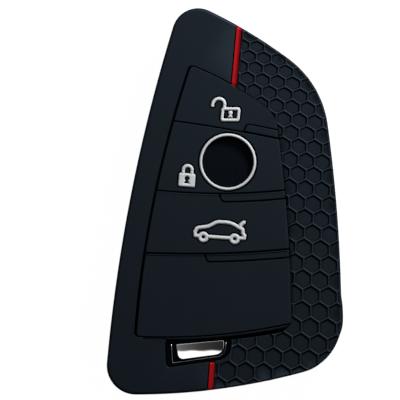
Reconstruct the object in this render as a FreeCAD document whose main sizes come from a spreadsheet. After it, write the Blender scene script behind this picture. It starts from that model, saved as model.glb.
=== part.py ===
# Silicone cover fitted on a three button key remote, lying on its back with the buttons up.
# Millimetres. X points right, Y to the narrow tip, Z up. The origin lies under the middle of the outline.
import FreeCAD, Part
import Sketcher
import math
import os
import re

SIZES = {
    # Outline of the cover: sharp corners, bowed edges between them, round corners, growth on all sides
    "tip_x": -10.75, "tip_y": 50.5,
    "left_heel_x": -30.12, "left_heel_y": -47.95,
    "right_heel_x": 28.8, "right_heel_y": -39.7,
    "shoulder_x": 24.0, "shoulder_y": 28.85,
    "left_bow": 410, "bottom_bow": 160, "right_bow": 370, "slope_bow": 120,
    "tip_radius": 6.5, "left_heel_radius": 7.3, "right_heel_radius": 13.3, "shoulder_radius": 24.5,
    "outline_grow": 0.155,
    # Cover: walls, edges and the lip that holds the remote from behind
    "side_wall": 1.6, "front_wall": 1.6,
    "lip_thickness": 1.4, "lip_reach": 5.0, "front_edge": 0.7, "rear_edge": 3.0,
    # Thumb nub on the right side wall
    "nub_x": 21.65, "nub_y": -28.6, "nub_radius": 8.0, "nub_level": 5.0, "nub_height": 5.0,
    # Button panel: insets from the four edges, bow of the left one, sideways moves of the others' centres,
    # corners, slit, left groove
    "panel_left": 6.4, "panel_bottom": 14.11, "panel_right": 12.3, "panel_slope": 17.2,
    "panel_left_bow": 278.7, "panel_left_x": 255.39, "panel_left_y": -54.83,
    "panel_bottom_turn": 7.3, "panel_right_turn": 0, "panel_slope_turn": 7.75,
    "panel_tip_corner": 1.2, "panel_left_corner": 1.1, "panel_right_corner": 1.0,
    "panel_shoulder_corner": 9.0,
    "slit": 0.16, "left_groove": 0.42, "groove_depth": 0.6,
    # Recess below the panel: move of its lower edge against the panel's, ends and depth
    "recess_x": 2.0, "recess_y": -1.26, "recess_left": -20.6, "recess_right": 16.3, "recess_slant": 2.0,
    "recess_depth": 1.2,
    # Lines between the pads: heights at both ends of the span and the sag between them
    "separator_span": 16.0,
    "first_left": 20.52, "first_right": 15.03, "first_sag": -0.39,
    "second_left": 2.68, "second_right": 2.98, "second_sag": 0.83,
    "third_left": -12.95, "third_right": -11.85, "third_sag": 0.52,
    # Pads, their raised bars and their travel
    "pad_rise": 0.1, "travel": 0.6, "press_clear": 0.1,
    "bar_width": 1.8, "bar_rise": 0.35, "bar_edge": 0.05, "bar_slant": 0.38,
    "first_bar": 4.7, "second_bar": -1.5, "third_bar": -5.16,
    # Finger ring round the hole in the middle pad
    "ring_x": 0.58, "ring_y": 9.89, "hole_radius": 6.4, "ring_width": 0.78, "ring_rise": 0.45,
    "ring_edge": 0.3, "push_ring": 0.7,
    # Raised icons
    "icon_rise": 0.3, "icon_stroke": 0.8,
    "unlock_x": 1.22, "unlock_y": 21.76, "unlock_wide": 4.8, "unlock_high": 3.56,
    "unlock_well_wide": 3.3, "unlock_well_high": 2.05,
    "lock_x": -9.69, "lock_y": 5.34, "lock_wide": 4.2, "lock_high": 3.5,
    "shackle_radius": 1.55, "open_shackle_radius": 1.9, "shackle_leg": 0.7,
    "icon_corner": 0.5, "keyhole_radius": 0.54, "keyhole_lift": 0.36, "keyhole_neck": 0.12,
    "keyhole_foot": 0.5, "lock_keyhole_share": 0.75,
    "car_x": -1.63, "car_y": -7.23, "car_length": 12.2, "wheel_radius": 1.25, "hub_radius": 0.4,
    # Red stripes
    "stripe_width": 1.27, "stripe_depth": 0.8, "stripe_rise": 0.2, "stripe_end": 0.6, "stripe_wall": 0.2,
    "upper_stripe_x": 2.13, "upper_stripe_y": 28.75, "upper_stripe_long": 14.2, "upper_stripe_lean": 5.0,
    "lower_stripe_x": -3.26, "lower_stripe_y": -40.25, "lower_stripe_long": 5.5, "lower_stripe_lean": 184.2,
    # Honeycomb: start cell, pitch along and across the rows, their growth to the heel, lean and tilt
    "comb_x": 17.133, "comb_y": 37.574, "comb_pitch": 3.703, "comb_growth": 0.0352,
    "comb_lean": 0.083, "comb_lean_growth": 0.0023,
    "comb_row": 2.515, "comb_row_growth": 0.0611, "comb_row_easing": 0.00077,
    "comb_tilt": 0.443, "comb_tilt_easing": 0.0064, "comb_rib": 0.55, "comb_depth": 0.42,
    # Window in the front wall with the bezel, rim and plate below it
    "window_x": -15.06, "window_y": -34.9, "window_wide": 16.57, "window_high": 6.6,
    "window_slant": 2.25, "window_lean": 0.32, "window_taper": 0.72, "window_rise": 0.65,
    "window_corner": 0.9, "window_round": 3.4,
    "bezel_gap": 0.3, "bezel_thickness": 0.5,
    "rim_left": 1.4, "rim_bottom": 0.75, "rim_right": 1.05, "rim_top": 0.35,
    "rim_width": 0.25, "rim_rise": 0.25, "rim_corner": 0.5, "rim_round": 2.4,
    "plate_left": 2.65, "plate_bottom": 1.5, "plate_right": 1.55, "plate_top": 0.65, "plate_thickness": 0.45,
    "plate_corner": 0.4, "plate_heel_corner": 1.6, "plate_round": 2.2,
    # Remote: fit in the cover, walls, seal between the two halves
    "fob_fit": 0.2, "housing_wall": 1.5, "housing_face": 1.5, "housing_floor": 1.5, "fob_edge": 1.5,
    "split_clear": 0.1, "seal_thickness": 0.6, "seal_inset": 0.3, "seal_width": 0.9,
    # Keys of the remote
    "key_gap": 0.2, "key_flange": 0.6, "flange_reach": 0.8, "key_corner": 1.5,
    "stem_radius": 1.5, "stem_length": 0.9,
    "unlock_key_x": -0.5, "unlock_key_y": 23.3, "unlock_key_wide": 11.0, "unlock_key_high": 5.6,
    "lock_key_wide": 22.0, "lock_key_high": 14.8,
    "trunk_key_wide": 18.0, "trunk_key_high": 6.4,
    "disc_radius": 6.1, "disc_recess": 0.8, "disc_thickness": 0.4, "boss_margin": 0.8,
    # Circuit board with switches, chip and coil
    "board_thickness": 1.0, "board_gap": 0.6, "small_corner": 0.3,
    "switch_wide": 4.2, "switch_height": 1.2, "switch_floor": 0.15,
    "plunger_radius": 1.0, "plunger_gap": 0.12,
    "chip_x": 8.0, "chip_y": -18.0, "chip_wide": 6.0, "chip_height": 0.9,
    "coil_x": -3.0, "coil_y": 33.5, "coil_wide": 8.0,
    # Cell, contacts, battery cover and spare blade in the rear half
    "cell_x": 5.0, "cell_y": -22.0, "cell_radius": 12.25, "cell_height": 5.0,
    "contact_wide": 4.0, "contact_long": 9.0, "contact_height": 1.1,
    "clip_gap": 0.15, "clip_thickness": 0.4, "clip_wide": 5.0,
    "door_margin": 0.95, "door_step": 0.8, "door_lip": 0.8, "door_gap": 0.1,
    "blade_x": -22.0, "blade_y": -33.0, "blade_long": 58.0, "blade_wide": 6.0, "blade_thickness": 2.2,
    "blade_lean": 11.2,
    "post_radius": 1.5, "tip_post_x": -5.0, "tip_post_y": 37.0, "side_post_x": 21.0, "side_post_y": 5.0,
    "heel_post_x": -20.0, "heel_post_y": -40.5,
}

# Heights and sizes that follow from the stack of pieces inside, counted up from the floor
LEVELS = {
    "floor_top": "lip_thickness + housing_floor",
    "cell_top": "floor_top + cell_height",
    "split": "cell_top + split_clear",
    "front_split": "split + seal_thickness",
    "board_level": "cell_top + contact_height",
    "board_top": "board_level + board_thickness",
    "switch_top": "board_top + switch_height",
    "plunger_top": "switch_top + travel + 2 * press_clear",
    "plunger_bottom": "board_top + switch_floor + travel + press_clear",
    "key_bottom": "plunger_top + stem_length",
    "face_underside": "key_bottom + key_flange",
    "fob_face": "face_underside + housing_face",
    "disc_level": "fob_face - disc_recess",
    "bezel_top": "fob_face + bezel_thickness",
    "cover_depth": "fob_face + front_wall",
    "pad_top": "cover_depth + pad_rise",
    "pad_bottom": "fob_face + travel + press_clear",
    "shell_inset": "side_wall + fob_fit",
    "room_inset": "shell_inset + housing_wall",
    "door_radius": "cell_radius + door_margin",
}

CORNERS = ["tip", "left_heel", "right_heel", "shoulder"]
EDGES = ["left", "bottom", "right", "slope"]
UP = FreeCAD.Vector(0, 0, 1)

doc = FreeCAD.newDocument("key_cover")
sheet = doc.addObject("Spreadsheet::Sheet", "sizes")
for row, (name, number) in enumerate(SIZES.items(), 1):
    sheet.set("A%d" % row, name)
    sheet.set("B%d" % row, str(number))
    sheet.setAlias("B%d" % row, name)
for row, (name, formula) in enumerate(LEVELS.items(), len(SIZES) + 1):
    sheet.set("A%d" % row, name)
    sheet.set("B%d" % row, "=" + formula)
    sheet.setAlias("B%d" % row, name)
doc.recompute()


def size(name):
    """Value of a named size."""
    return float(sheet.get(name))


def bind(target, prop, formula):
    """Ties a property to a formula over the named sizes."""
    target.setExpression(prop, re.sub(r"[a-z]\w*", r"sizes.\g<0>", formula))


def point(x, y):
    return FreeCAD.Vector(x, y, 0)


# Plane loops. A loop is a list of lines (start, end) and arcs (centre, radius, start, end).
def toward(centre, radius, target):
    """Point of a circle in the direction of a target."""
    ray = target - centre
    return centre + ray * (radius / ray.Length)


def circles_meet(centre_a, radius_a, centre_b, radius_b, near):
    """Meeting point of two circles, of the two the one nearer to a given point."""
    span = centre_b - centre_a
    along = (radius_a ** 2 - radius_b ** 2 + span.Length ** 2) / (2 * span.Length)
    across = math.sqrt(max(radius_a ** 2 - along ** 2, 0))
    direction = span / span.Length
    foot = centre_a + direction * along
    side = point(-direction.y, direction.x) * across
    return min(foot + side, foot - side, key=lambda p: (p - near).Length)


def corner(index):
    name = CORNERS[index % 4]
    return point(size(name + "_x"), size(name + "_y"))


def bow_centre(start, end, radius):
    """Centre of the arc from start to end that has its centre on the left."""
    chord = end - start
    inward = point(-chord.y, chord.x) / chord.Length
    return (start + end) / 2 + inward * math.sqrt(radius ** 2 - chord.Length ** 2 / 4)


def edge_circles(insets):
    """Centre and radius of the four bowed edges, each moved inward by its inset."""
    circles = []
    for index, edge in enumerate(EDGES):
        bow = size(edge + "_bow")
        centre = bow_centre(corner(index), corner(index + 1), bow)
        circles.append((centre, bow - insets[index]))
    return circles


def outline(circles, radii):
    """Four corner arcs and four edge arcs in turn, counter-clockwise from the tip."""
    turns = []
    for index, radius in enumerate(radii):
        before, reach_before = circles[index - 1]
        after, reach_after = circles[index]
        turns.append(circles_meet(before, reach_before - radius, after, reach_after - radius, corner(index)))
    loop = []
    for index, radius in enumerate(radii):
        before = circles[index - 1]
        after = circles[index]
        turn = turns[index]
        next_turn = turns[(index + 1) % 4]
        loop.append((turn, radius, toward(*before, turn), toward(*after, turn)))
        loop.append((*after, toward(*after, turn), toward(*after, next_turn)))
    return loop


def even_outline(inset):
    """Outline of the cover moved inward on all sides."""
    radii = [max(size(name + "_radius") - inset, 0.5) for name in CORNERS]
    return outline(edge_circles([inset - size("outline_grow")] * 4), radii)


def panel_insets(gap):
    return [size("panel_" + edge) + gap for edge in EDGES]


def panel_circles(gap, groove=0):
    """Edges of the button panel: the left one bowed apart and out by a groove, the others turned a little."""
    circles = [(point(size("panel_left_x"), size("panel_left_y")), size("panel_left_bow") - gap + groove)]
    for edge, (centre, reach) in list(zip(EDGES, edge_circles(panel_insets(gap))))[1:]:
        circles.append((centre + point(size("panel_%s_turn" % edge), 0), reach))
    return circles


def panel_outline(gap, groove=0):
    """Outline of the whole button panel, moved inward by a gap."""
    radii = [size("panel_%s_corner" % name) - gap for name in ("tip", "left", "right", "shoulder")]
    return outline(panel_circles(gap, groove), radii)


def separator(name, shift):
    """Centre, radius and ends of a line between two pads, moved up by a shift."""
    span = size("separator_span")
    sag = size(name + "_sag")
    left = point(-span, size(name + "_left"))
    right = point(span, size(name + "_right"))
    chord = (right - left).Length
    radius = (chord ** 2 / 4 + sag ** 2) / (2 * abs(sag))
    if sag > 0:
        return bow_centre(left, right, radius), radius - shift, left, right
    return bow_centre(right, left, radius), radius + shift, left, right


def crossings(name, shift, gap, groove=0):
    """Points where a separator meets the left and the right edge of the panel."""
    circles = panel_circles(gap, groove)
    centre, radius, left, right = separator(name, shift)
    return circles_meet(centre, radius, *circles[0], left), circles_meet(centre, radius, *circles[2], right)


def separator_arc(name, shift, start, end):
    centre, radius = separator(name, shift)[:2]
    return centre, radius, start, end


def pad_loop(upper, lower, gap, groove=0):
    """Panel between two separators; without a separator it runs to the end of the panel."""
    tip, left, left_heel, bottom, right_heel, right, shoulder, slope = panel_outline(gap, groove)
    left_start, left_end = left[2:]
    right_start, right_end = right[2:]
    loop = []
    if upper:
        left_start, right_end = crossings(upper, -gap, gap, groove)
        loop.append(separator_arc(upper, -gap, left_start, right_end))
    else:
        loop += [shoulder, slope, tip]
    if lower:
        left_end, right_start = crossings(lower, gap, gap, groove)
        loop.append(separator_arc(lower, gap, left_end, right_start))
    else:
        loop += [left_heel, bottom, right_heel]
    loop.append((*left[:2], left_start, left_end))
    loop.append((*right[:2], right_start, right_end))
    return loop


def bar_loop(name, side, gap):
    """Raised bar beside the right part of a separator, above it for side 1 and below it for side -1."""
    near = side * (gap + size("bar_edge"))
    far = side * (gap + size("bar_edge") + size("bar_width"))
    inside = gap + size("bar_edge")
    ends = {}
    for shift in (near, far):
        centre, radius = separator(name, shift)[:2]
        start_x = size(name + "_bar") + abs(shift - near) * size("bar_slant")
        rise = math.sqrt(radius ** 2 - (start_x - centre.x) ** 2)
        height = centre.y - rise if size(name + "_sag") > 0 else centre.y + rise
        ends[shift] = (point(start_x, height), crossings(name, shift, inside)[1])
    right = panel_circles(inside)[2]
    return [
        separator_arc(name, near, *ends[near]),
        separator_arc(name, far, *ends[far]),
        (ends[near][0], ends[far][0]),
        (*right, ends[near][1], ends[far][1]),
    ]


def recess_loop():
    """Band below the panel between its lower edge and the same edge moved away from it."""
    centre, reach = panel_circles(size("slit") / 2)[1]
    moved = centre + point(size("recess_x"), size("recess_y"))
    left, right = size("recess_left"), size("recess_right")
    ends = []
    for middle, x in ((centre, left), (centre, right), (moved, right - size("recess_slant")), (moved, left)):
        ends.append(point(x, middle.y - math.sqrt(reach ** 2 - (x - middle.x) ** 2)))
    return [
        (centre, reach, ends[0], ends[1]), (ends[1], ends[2]),
        (moved, reach, ends[2], ends[3]), (ends[3], ends[0]),
    ]


def rounded(points, radii):
    """Polygon with a round corner of its own radius at every point, as far as its sides have room."""
    count = len(points)
    turns = []
    for index, (here, radius) in enumerate(zip(points, radii)):
        back = (points[index - 1] - here).normalize()
        ahead = (points[(index + 1) % count] - here).normalize()
        half = back.getAngle(ahead) / 2
        turns.append((back, ahead, half, radius / math.tan(half)))
    loop = []
    cuts = []
    for index, here in enumerate(points):
        back, ahead, half, cut = turns[index]
        for other in (index - 1, (index + 1) % count):
            side = (points[other] - here).Length
            cut = min(cut, turns[index][3] * 0.98 * side / (turns[index][3] + turns[other][3]))
        start = here + back * cut
        end = here + ahead * cut
        centre = here + (back + ahead).normalize() * (cut / math.cos(half))
        cuts.append((start, end))
        loop.append((centre, cut * math.tan(half), start, end))
    for index in range(count):
        loop.append((cuts[index - 1][1], cuts[index][0]))
    return loop


def rectangle(wide, high, radius):
    """Round cornered rectangle about the origin of its sketch."""
    x, y = wide / 2, high / 2
    return rounded([point(-x, -y), point(x, -y), point(x, y), point(-x, y)], [radius] * 4)


def turned_box(x, y, wide, long, lean, grow):
    """Rectangle that starts at a point and runs along a leaning direction."""
    angle = math.radians(90 - lean)
    along = point(math.cos(angle), math.sin(angle))
    across = point(along.y, -along.x) * (wide / 2 + grow)
    start = point(x, y) - along * grow
    end = point(x, y) + along * (long + grow)
    corners = [start - across, start + across, end + across, end - across]
    return list(zip(corners, corners[1:] + corners[:1]))


# Bodies, sketches and features
def geometry(item):
    if len(item) == 2:
        return Part.LineSegment(*item)
    centre, radius, start, end = item
    first = math.atan2(start.y - centre.y, start.x - centre.x)
    sweep = (math.atan2(end.y - centre.y, end.x - centre.x) - first) % (2 * math.pi)
    if sweep > math.pi + 1e-9:
        first += sweep
        sweep = 2 * math.pi - sweep
    return Part.ArcOfCircle(Part.Circle(centre, UP, radius), first, first + sweep)


def new_body(label):
    body = doc.addObject("PartDesign::Body", label)
    body.Label = label
    body.Placement = FreeCAD.Placement()
    return body


def new_sketch(body, loops, level, at=None):
    """Sketch on the floor or parallel to it at a level, its origin at the point that two formulas give."""
    sketch = body.newObject("Sketcher::SketchObject", body.Label + "_sketch")
    plane = [item for item in body.Origin.OriginFeatures if item.Role == "XY_Plane"][0]
    sketch.AttachmentSupport = [(plane, "")]
    sketch.MapMode = "FlatFace"
    if level:
        bind(sketch, ".AttachmentOffset.Base.z", level)
    if at:
        bind(sketch, ".AttachmentOffset.Base.x", at[0])
        bind(sketch, ".AttachmentOffset.Base.y", at[1])
    for loop in loops:
        sketch.addGeometry([geometry(item) for item in loop], False)
    return sketch


def new_feature(body, kind, sketch, length):
    feature = body.newObject("PartDesign::" + kind, body.Label + "_" + kind.lower())
    feature.Profile = sketch
    bind(feature, "Length", length)
    doc.recompute()
    return feature


def pad(body, loops, level, height, at=None):
    """Adds the loops from a level upward."""
    return new_feature(body, "Pad", new_sketch(body, loops, level, at), height)


def pocket(body, loops, level, depth, at=None):
    """Cuts the loops from a level downward."""
    return new_feature(body, "Pocket", new_sketch(body, loops, level, at), depth)


def round_sketch(body, radii, level, at):
    """Sketch of circles about one point, each radius tied to a formula."""
    sketch = new_sketch(body, [], level, at)
    for radius in radii:
        index = sketch.addGeometry(Part.Circle(point(0, 0), UP, 1 + len(radius)), False)
        sketch.addConstraint(Sketcher.Constraint("Coincident", index, 3, -1, 1))
        place = sketch.addConstraint(Sketcher.Constraint("Radius", index, 1 + len(radius)))
        bind(sketch, "Constraints[%d]" % place, radius)
    return sketch


def round_pad(body, radii, level, height, at):
    return new_feature(body, "Pad", round_sketch(body, radii, level, at), height)


def round_pocket(body, radii, level, depth, at):
    return new_feature(body, "Pocket", round_sketch(body, radii, level, at), depth)


def soften(body, feature, level, radius, inside=None):
    """Rounds the edges that lie at a level, or only those that a test keeps."""
    names = []
    for index, edge in enumerate(feature.Shape.Edges, 1):
        box = edge.BoundBox
        flat = abs(box.ZMin - level) < 1e-4 and abs(box.ZMax - level) < 1e-4
        if flat and (inside is None or inside(edge)):
            names.append("Edge%d" % index)
    fillet = body.newObject("PartDesign::Fillet", body.Label + "_fillet")
    fillet.Base = (feature, names)
    bind(fillet, "Radius", radius)
    doc.recompute()
    return fillet


# Honeycomb cells of the grip on the right side
COMB_ROWS = (-3, 26)
COMB_COLUMNS = (-8, 5)
CELL = [(-2 / 3, 0), (-1 / 3, -1 / 2), (1 / 3, -1 / 2), (2 / 3, 0), (1 / 3, 1 / 2), (-1 / 3, 1 / 2)]


def comb_point(row, column):
    """Plan position in the honeycomb, counted in rows and columns from its start cell."""
    pitch = size("comb_pitch") + size("comb_growth") * row
    lean = size("comb_lean") + size("comb_lean_growth") * row
    drop = size("comb_row") + size("comb_row_growth") * row - size("comb_row_easing") * row ** 2
    tilt = size("comb_tilt") - size("comb_tilt_easing") * row
    return point(size("comb_x") + column * pitch - lean * row, size("comb_y") - drop * row - column * tilt)


def right_of(polygon, start, along):
    """Part of a polygon on the right of a line."""
    kept = []
    for index, here in enumerate(polygon):
        before = polygon[index - 1]
        side_before = along.x * (before.y - start.y) - along.y * (before.x - start.x)
        side = along.x * (here.y - start.y) - along.y * (here.x - start.x)
        if side_before * side < 0:
            kept.append(before + (here - before) * (side_before / (side_before - side)))
        if side <= 0:
            kept.append(here)
    return kept


def inside_edges(place, insets):
    return all((place - centre).Length < reach for centre, reach in edge_circles(insets))


def polygon_area(polygon):
    pairs = zip(polygon, polygon[1:] + polygon[:1])
    return abs(sum(a.x * b.y - b.x * a.y for a, b in pairs)) / 2


def stripe_side(name):
    """Line along the right side of a stripe, a thin wall away from it, pointing to the tip."""
    lean = math.radians(90 - size(name + "_stripe_lean"))
    along = point(math.cos(lean), math.sin(lean))
    if along.y < 0:
        along = along * -1
    wall = size("stripe_width") / 2 + size("slit")
    return point(size(name + "_stripe_x"), size(name + "_stripe_y")) + point(along.y, -along.x) * wall, along


def beyond(polygon, start, end):
    """True where a polygon lies wholly on the right of a line, a rib away from it."""
    along = end - start
    along.normalize()
    return all(along.x * (p.y - start.y) - along.y * (p.x - start.x) < -size("comb_rib") for p in polygon)


def comb_cells():
    """Cells that show between the outline, the panel, the stripes and the window."""
    shrink = 1 - size("comb_rib") / size("comb_pitch")
    hidden = [inset + size("comb_pitch") / 2 for inset in panel_insets(0)]
    window = window_corners()
    least = size("comb_pitch") ** 2 / 8
    cells = []
    for row in range(*COMB_ROWS):
        for step in range(*COMB_COLUMNS):
            column = step + 0.5 * (row % 2 == 0)
            middle = comb_point(row, column)
            if inside_edges(middle, hidden) or not inside_edges(middle, [-size("comb_rib")] * 4):
                continue
            cell = [comb_point(row + up * shrink, column + along * shrink) for up, along in CELL]
            cell = right_of(cell, *stripe_side("upper" if middle.y > 0 else "lower"))
            if len(cell) < 3 or polygon_area(cell) < least:
                continue
            clear = beyond(cell, *window[1:3]) or beyond(cell, *window[2:4])
            if middle.y < 0 and not clear:
                continue
            cells.append(list(zip(cell, cell[1:] + cell[:1])))
    return cells


# Window and what shows in it
def window_corners():
    """Sharp corners of the window, counter-clockwise from the upper left."""
    x, y = size("window_x"), size("window_y")
    wide, high = size("window_wide"), size("window_high")
    return [
        point(x, y),
        point(x + size("window_lean"), y - high),
        point(x + wide - size("window_taper"), y - high + size("window_slant")),
        point(x + wide, y + size("window_rise")),
    ]


def window_loop(insets, radii):
    """Slanted window, its left, bottom, right and top side moved inward."""
    corners = window_corners()
    lines = []
    for index, here in enumerate(corners):
        along = corners[(index + 1) % 4] - here
        along.normalize()
        lines.append((here + point(-along.y, along.x) * insets[index], along))
    moved = []
    for index, (start, along) in enumerate(lines):
        base, before = lines[index - 1]
        gap = start - base
        reach = (gap.x * along.y - gap.y * along.x) / (before.x * along.y - before.y * along.x)
        moved.append(base + before * reach)
    return rounded(moved, radii)


def even_window(inset):
    """Window moved inward on all sides."""
    corner_radius = size("window_corner") - inset / 2
    radii = [corner_radius, corner_radius, size("window_round") - inset, corner_radius]
    return window_loop([inset] * 4, radii)


def rim_outline(inset):
    """Loop along the rim, moved inward."""
    insets = [size("rim_" + side) + inset for side in ("left", "bottom", "right", "top")]
    corner_radius = size("rim_corner") - inset
    return window_loop(insets, [corner_radius, corner_radius, size("rim_round") - inset, corner_radius])


def stripe_loop(name):
    """Box of a stripe; the upper one starts a thin wall away from the slope of the button panel."""
    box = turned_box(
        size(name + "_stripe_x"), size(name + "_stripe_y"), size("stripe_width"),
        size(name + "_stripe_long"), size(name + "_stripe_lean"), 0,
    )
    if name == "lower":
        return box
    centre, reach = panel_circles(-size("stripe_wall"))[EDGES.index("slope")]
    corners = [line[0] for line in box]
    for index, opposite in ((0, 3), (1, 2)):
        along = corners[opposite] - corners[index]
        along.normalize()
        offset = corners[index] - centre
        if offset.Length < reach:
            back = offset.dot(along)
            short = math.sqrt(back ** 2 + reach ** 2 - offset.Length ** 2) - back
            corners[index] = corners[index] + along * short
    return list(zip(corners, corners[1:] + corners[:1]))


# Cover
def make_cover():
    cover = new_body("cover_shell")
    block = pad(cover, [even_outline(0)], None, "cover_depth")
    front = soften(cover, block, size("cover_depth"), "front_edge")
    soften(cover, front, 0, "rear_edge")
    round_pad(cover, ["nub_radius"], "nub_level", "nub_height", ("nub_x", "nub_y"))
    pocket(cover, comb_cells(), "cover_depth", "comb_depth")
    pocket(cover, [pad_loop("third", None, 0, size("left_groove"))], "cover_depth", "groove_depth")
    field = pad_loop("third", None, size("slit"))
    pad(cover, [field], "cover_depth - groove_depth", "groove_depth + pad_rise")
    pad(cover, [bar_loop("third", -1, size("slit"))], "pad_top", "bar_rise")
    pocket(cover, [recess_loop()], "cover_depth", "recess_depth")
    pocket(cover, [stripe_loop("upper"), stripe_loop("lower")], "cover_depth", "stripe_depth")
    pocket(cover, [even_outline(size("side_wall"))], "fob_face", "fob_face - lip_thickness")
    pocket(cover, [even_outline(size("side_wall") + size("lip_reach"))], "lip_thickness", "lip_thickness")
    opening = pad_loop(None, "third", 0, size("left_groove"))
    pocket(cover, [opening], "pad_top", "pad_top - fob_face")
    pocket(cover, [even_window(0)], "cover_depth", "front_wall")


def make_stripes():
    for name in ("upper", "lower"):
        stripe = new_body(name + "_red_stripe")
        pad(stripe, [stripe_loop(name)], "cover_depth - stripe_depth", "stripe_depth + stripe_rise")
        outer = size(name + "_stripe_y") + (1 if name == "upper" else -1) * size(name + "_stripe_long")
        soften(
            stripe, stripe.Tip, size("cover_depth") + size("stripe_rise"), "stripe_end",
            lambda edge: abs(edge.CenterOfMass.y - outer) < size("stripe_width") / 4,
        )


def make_pads():
    slit = size("slit")
    margin = 2 * size("boss_margin")
    for name, upper, lower, at in (
        ("unlock", None, "first", ("unlock_key_x", "unlock_key_y")),
        ("trunk", "second", "third", ("car_x", "car_y")),
    ):
        body = new_body(name + "_pad")
        pad(body, [pad_loop(upper, lower, slit)], "pad_bottom", "pad_top - pad_bottom")
        wide, high = size(name + "_key_wide") - margin, size(name + "_key_high") - margin
        boss = rectangle(wide, high, size("key_corner") / 2)
        pad(body, [boss], "fob_face", "pad_bottom - fob_face", at)
        bar = bar_loop("first", 1, slit) if name == "unlock" else bar_loop("second", -1, slit)
        pad(body, [bar], "pad_top", "bar_rise")
    body = new_body("lock_pad")
    ring = ("ring_x", "ring_y")
    pad(body, [pad_loop("first", "second", slit)], "pad_bottom", "pad_top - pad_bottom")
    round_pad(body, ["hole_radius + push_ring"], "fob_face", "pad_bottom - fob_face", ring)
    round_pocket(body, ["hole_radius"], "pad_top", "pad_top - fob_face", ring)


def make_ring():
    body = new_body("lock_ring")
    radii = ["hole_radius", "hole_radius + ring_width"]
    ring = round_pad(body, radii, "pad_top", "ring_rise", ("ring_x", "ring_y"))
    soften(body, ring, size("pad_top") + size("ring_rise"), "ring_edge")


# Icons
def half_ring(x, y, outer, stroke, left_leg, right_leg):
    """Shackle: half a ring with two straight legs, drawn from the middle of the ring."""
    inner = outer - stroke
    top = point(x, y)
    return [
        (top, outer, point(x + outer, y), point(x - outer, y)),
        (top, inner, point(x + inner, y), point(x - inner, y)),
        (point(x - outer, y), point(x - outer, y - left_leg)),
        (point(x - outer, y - left_leg), point(x - inner, y - left_leg)),
        (point(x - inner, y - left_leg), point(x - inner, y)),
        (point(x + inner, y), point(x + inner, y - right_leg)),
        (point(x + inner, y - right_leg), point(x + outer, y - right_leg)),
        (point(x + outer, y - right_leg), point(x + outer, y)),
    ]


def keyhole_stem(share):
    """Foot of a keyhole that widens downward from the middle of its head."""
    top, foot = size("keyhole_lift") * share, size("unlock_well_high") / 2 * share
    neck, wide = size("keyhole_neck") * share, size("keyhole_foot") * share
    corners = [point(-wide, -foot), point(wide, -foot), point(neck, top), point(-neck, top)]
    return list(zip(corners, corners[1:] + corners[:1]))


def make_lock_icon():
    body = new_body("lock_icon")
    at = ("lock_x", "lock_y")
    top = size("lock_high") / 2
    leg = size("shackle_leg")
    case = rectangle(size("lock_wide"), size("lock_high"), size("icon_corner"))
    pad(body, [case], "pad_top", "icon_rise", at)
    foot = leg + size("icon_corner") / 2
    shackle = half_ring(0, top + leg, size("shackle_radius"), size("icon_stroke"), foot, foot)
    pad(body, [shackle], "pad_top", "icon_rise", at)
    head = ("lock_x", "lock_y + keyhole_lift * lock_keyhole_share")
    round_pocket(body, ["keyhole_radius * lock_keyhole_share"], "pad_top + icon_rise", "icon_rise", head)
    stem = keyhole_stem(size("lock_keyhole_share"))
    pocket(body, [stem], "pad_top + icon_rise", "icon_rise", at)


def make_unlock_icon():
    body = new_body("unlock_icon")
    at = ("unlock_x", "unlock_y")
    wide, high = size("unlock_wide"), size("unlock_high")
    stroke = size("icon_stroke")
    outer = size("open_shackle_radius")
    leg = size("shackle_leg")
    pad(body, [rectangle(wide, high, size("icon_corner"))], "pad_top", "icon_rise", at)
    foot = leg + size("icon_corner") / 2
    shackle = half_ring(1.5 * stroke - wide / 2 - outer, high / 2 + leg, outer, stroke, leg / 2, foot)
    pad(body, [shackle], "pad_top", "icon_rise", at)
    well = rectangle(size("unlock_well_wide"), size("unlock_well_high"), size("small_corner"))
    pocket(body, [well], "pad_top + icon_rise", "icon_rise", at)
    pad(body, [keyhole_stem(1)], "pad_top", "icon_rise", at)
    round_pad(body, ["keyhole_radius"], "pad_top", "icon_rise", ("unlock_x", "unlock_y + keyhole_lift"))


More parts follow.
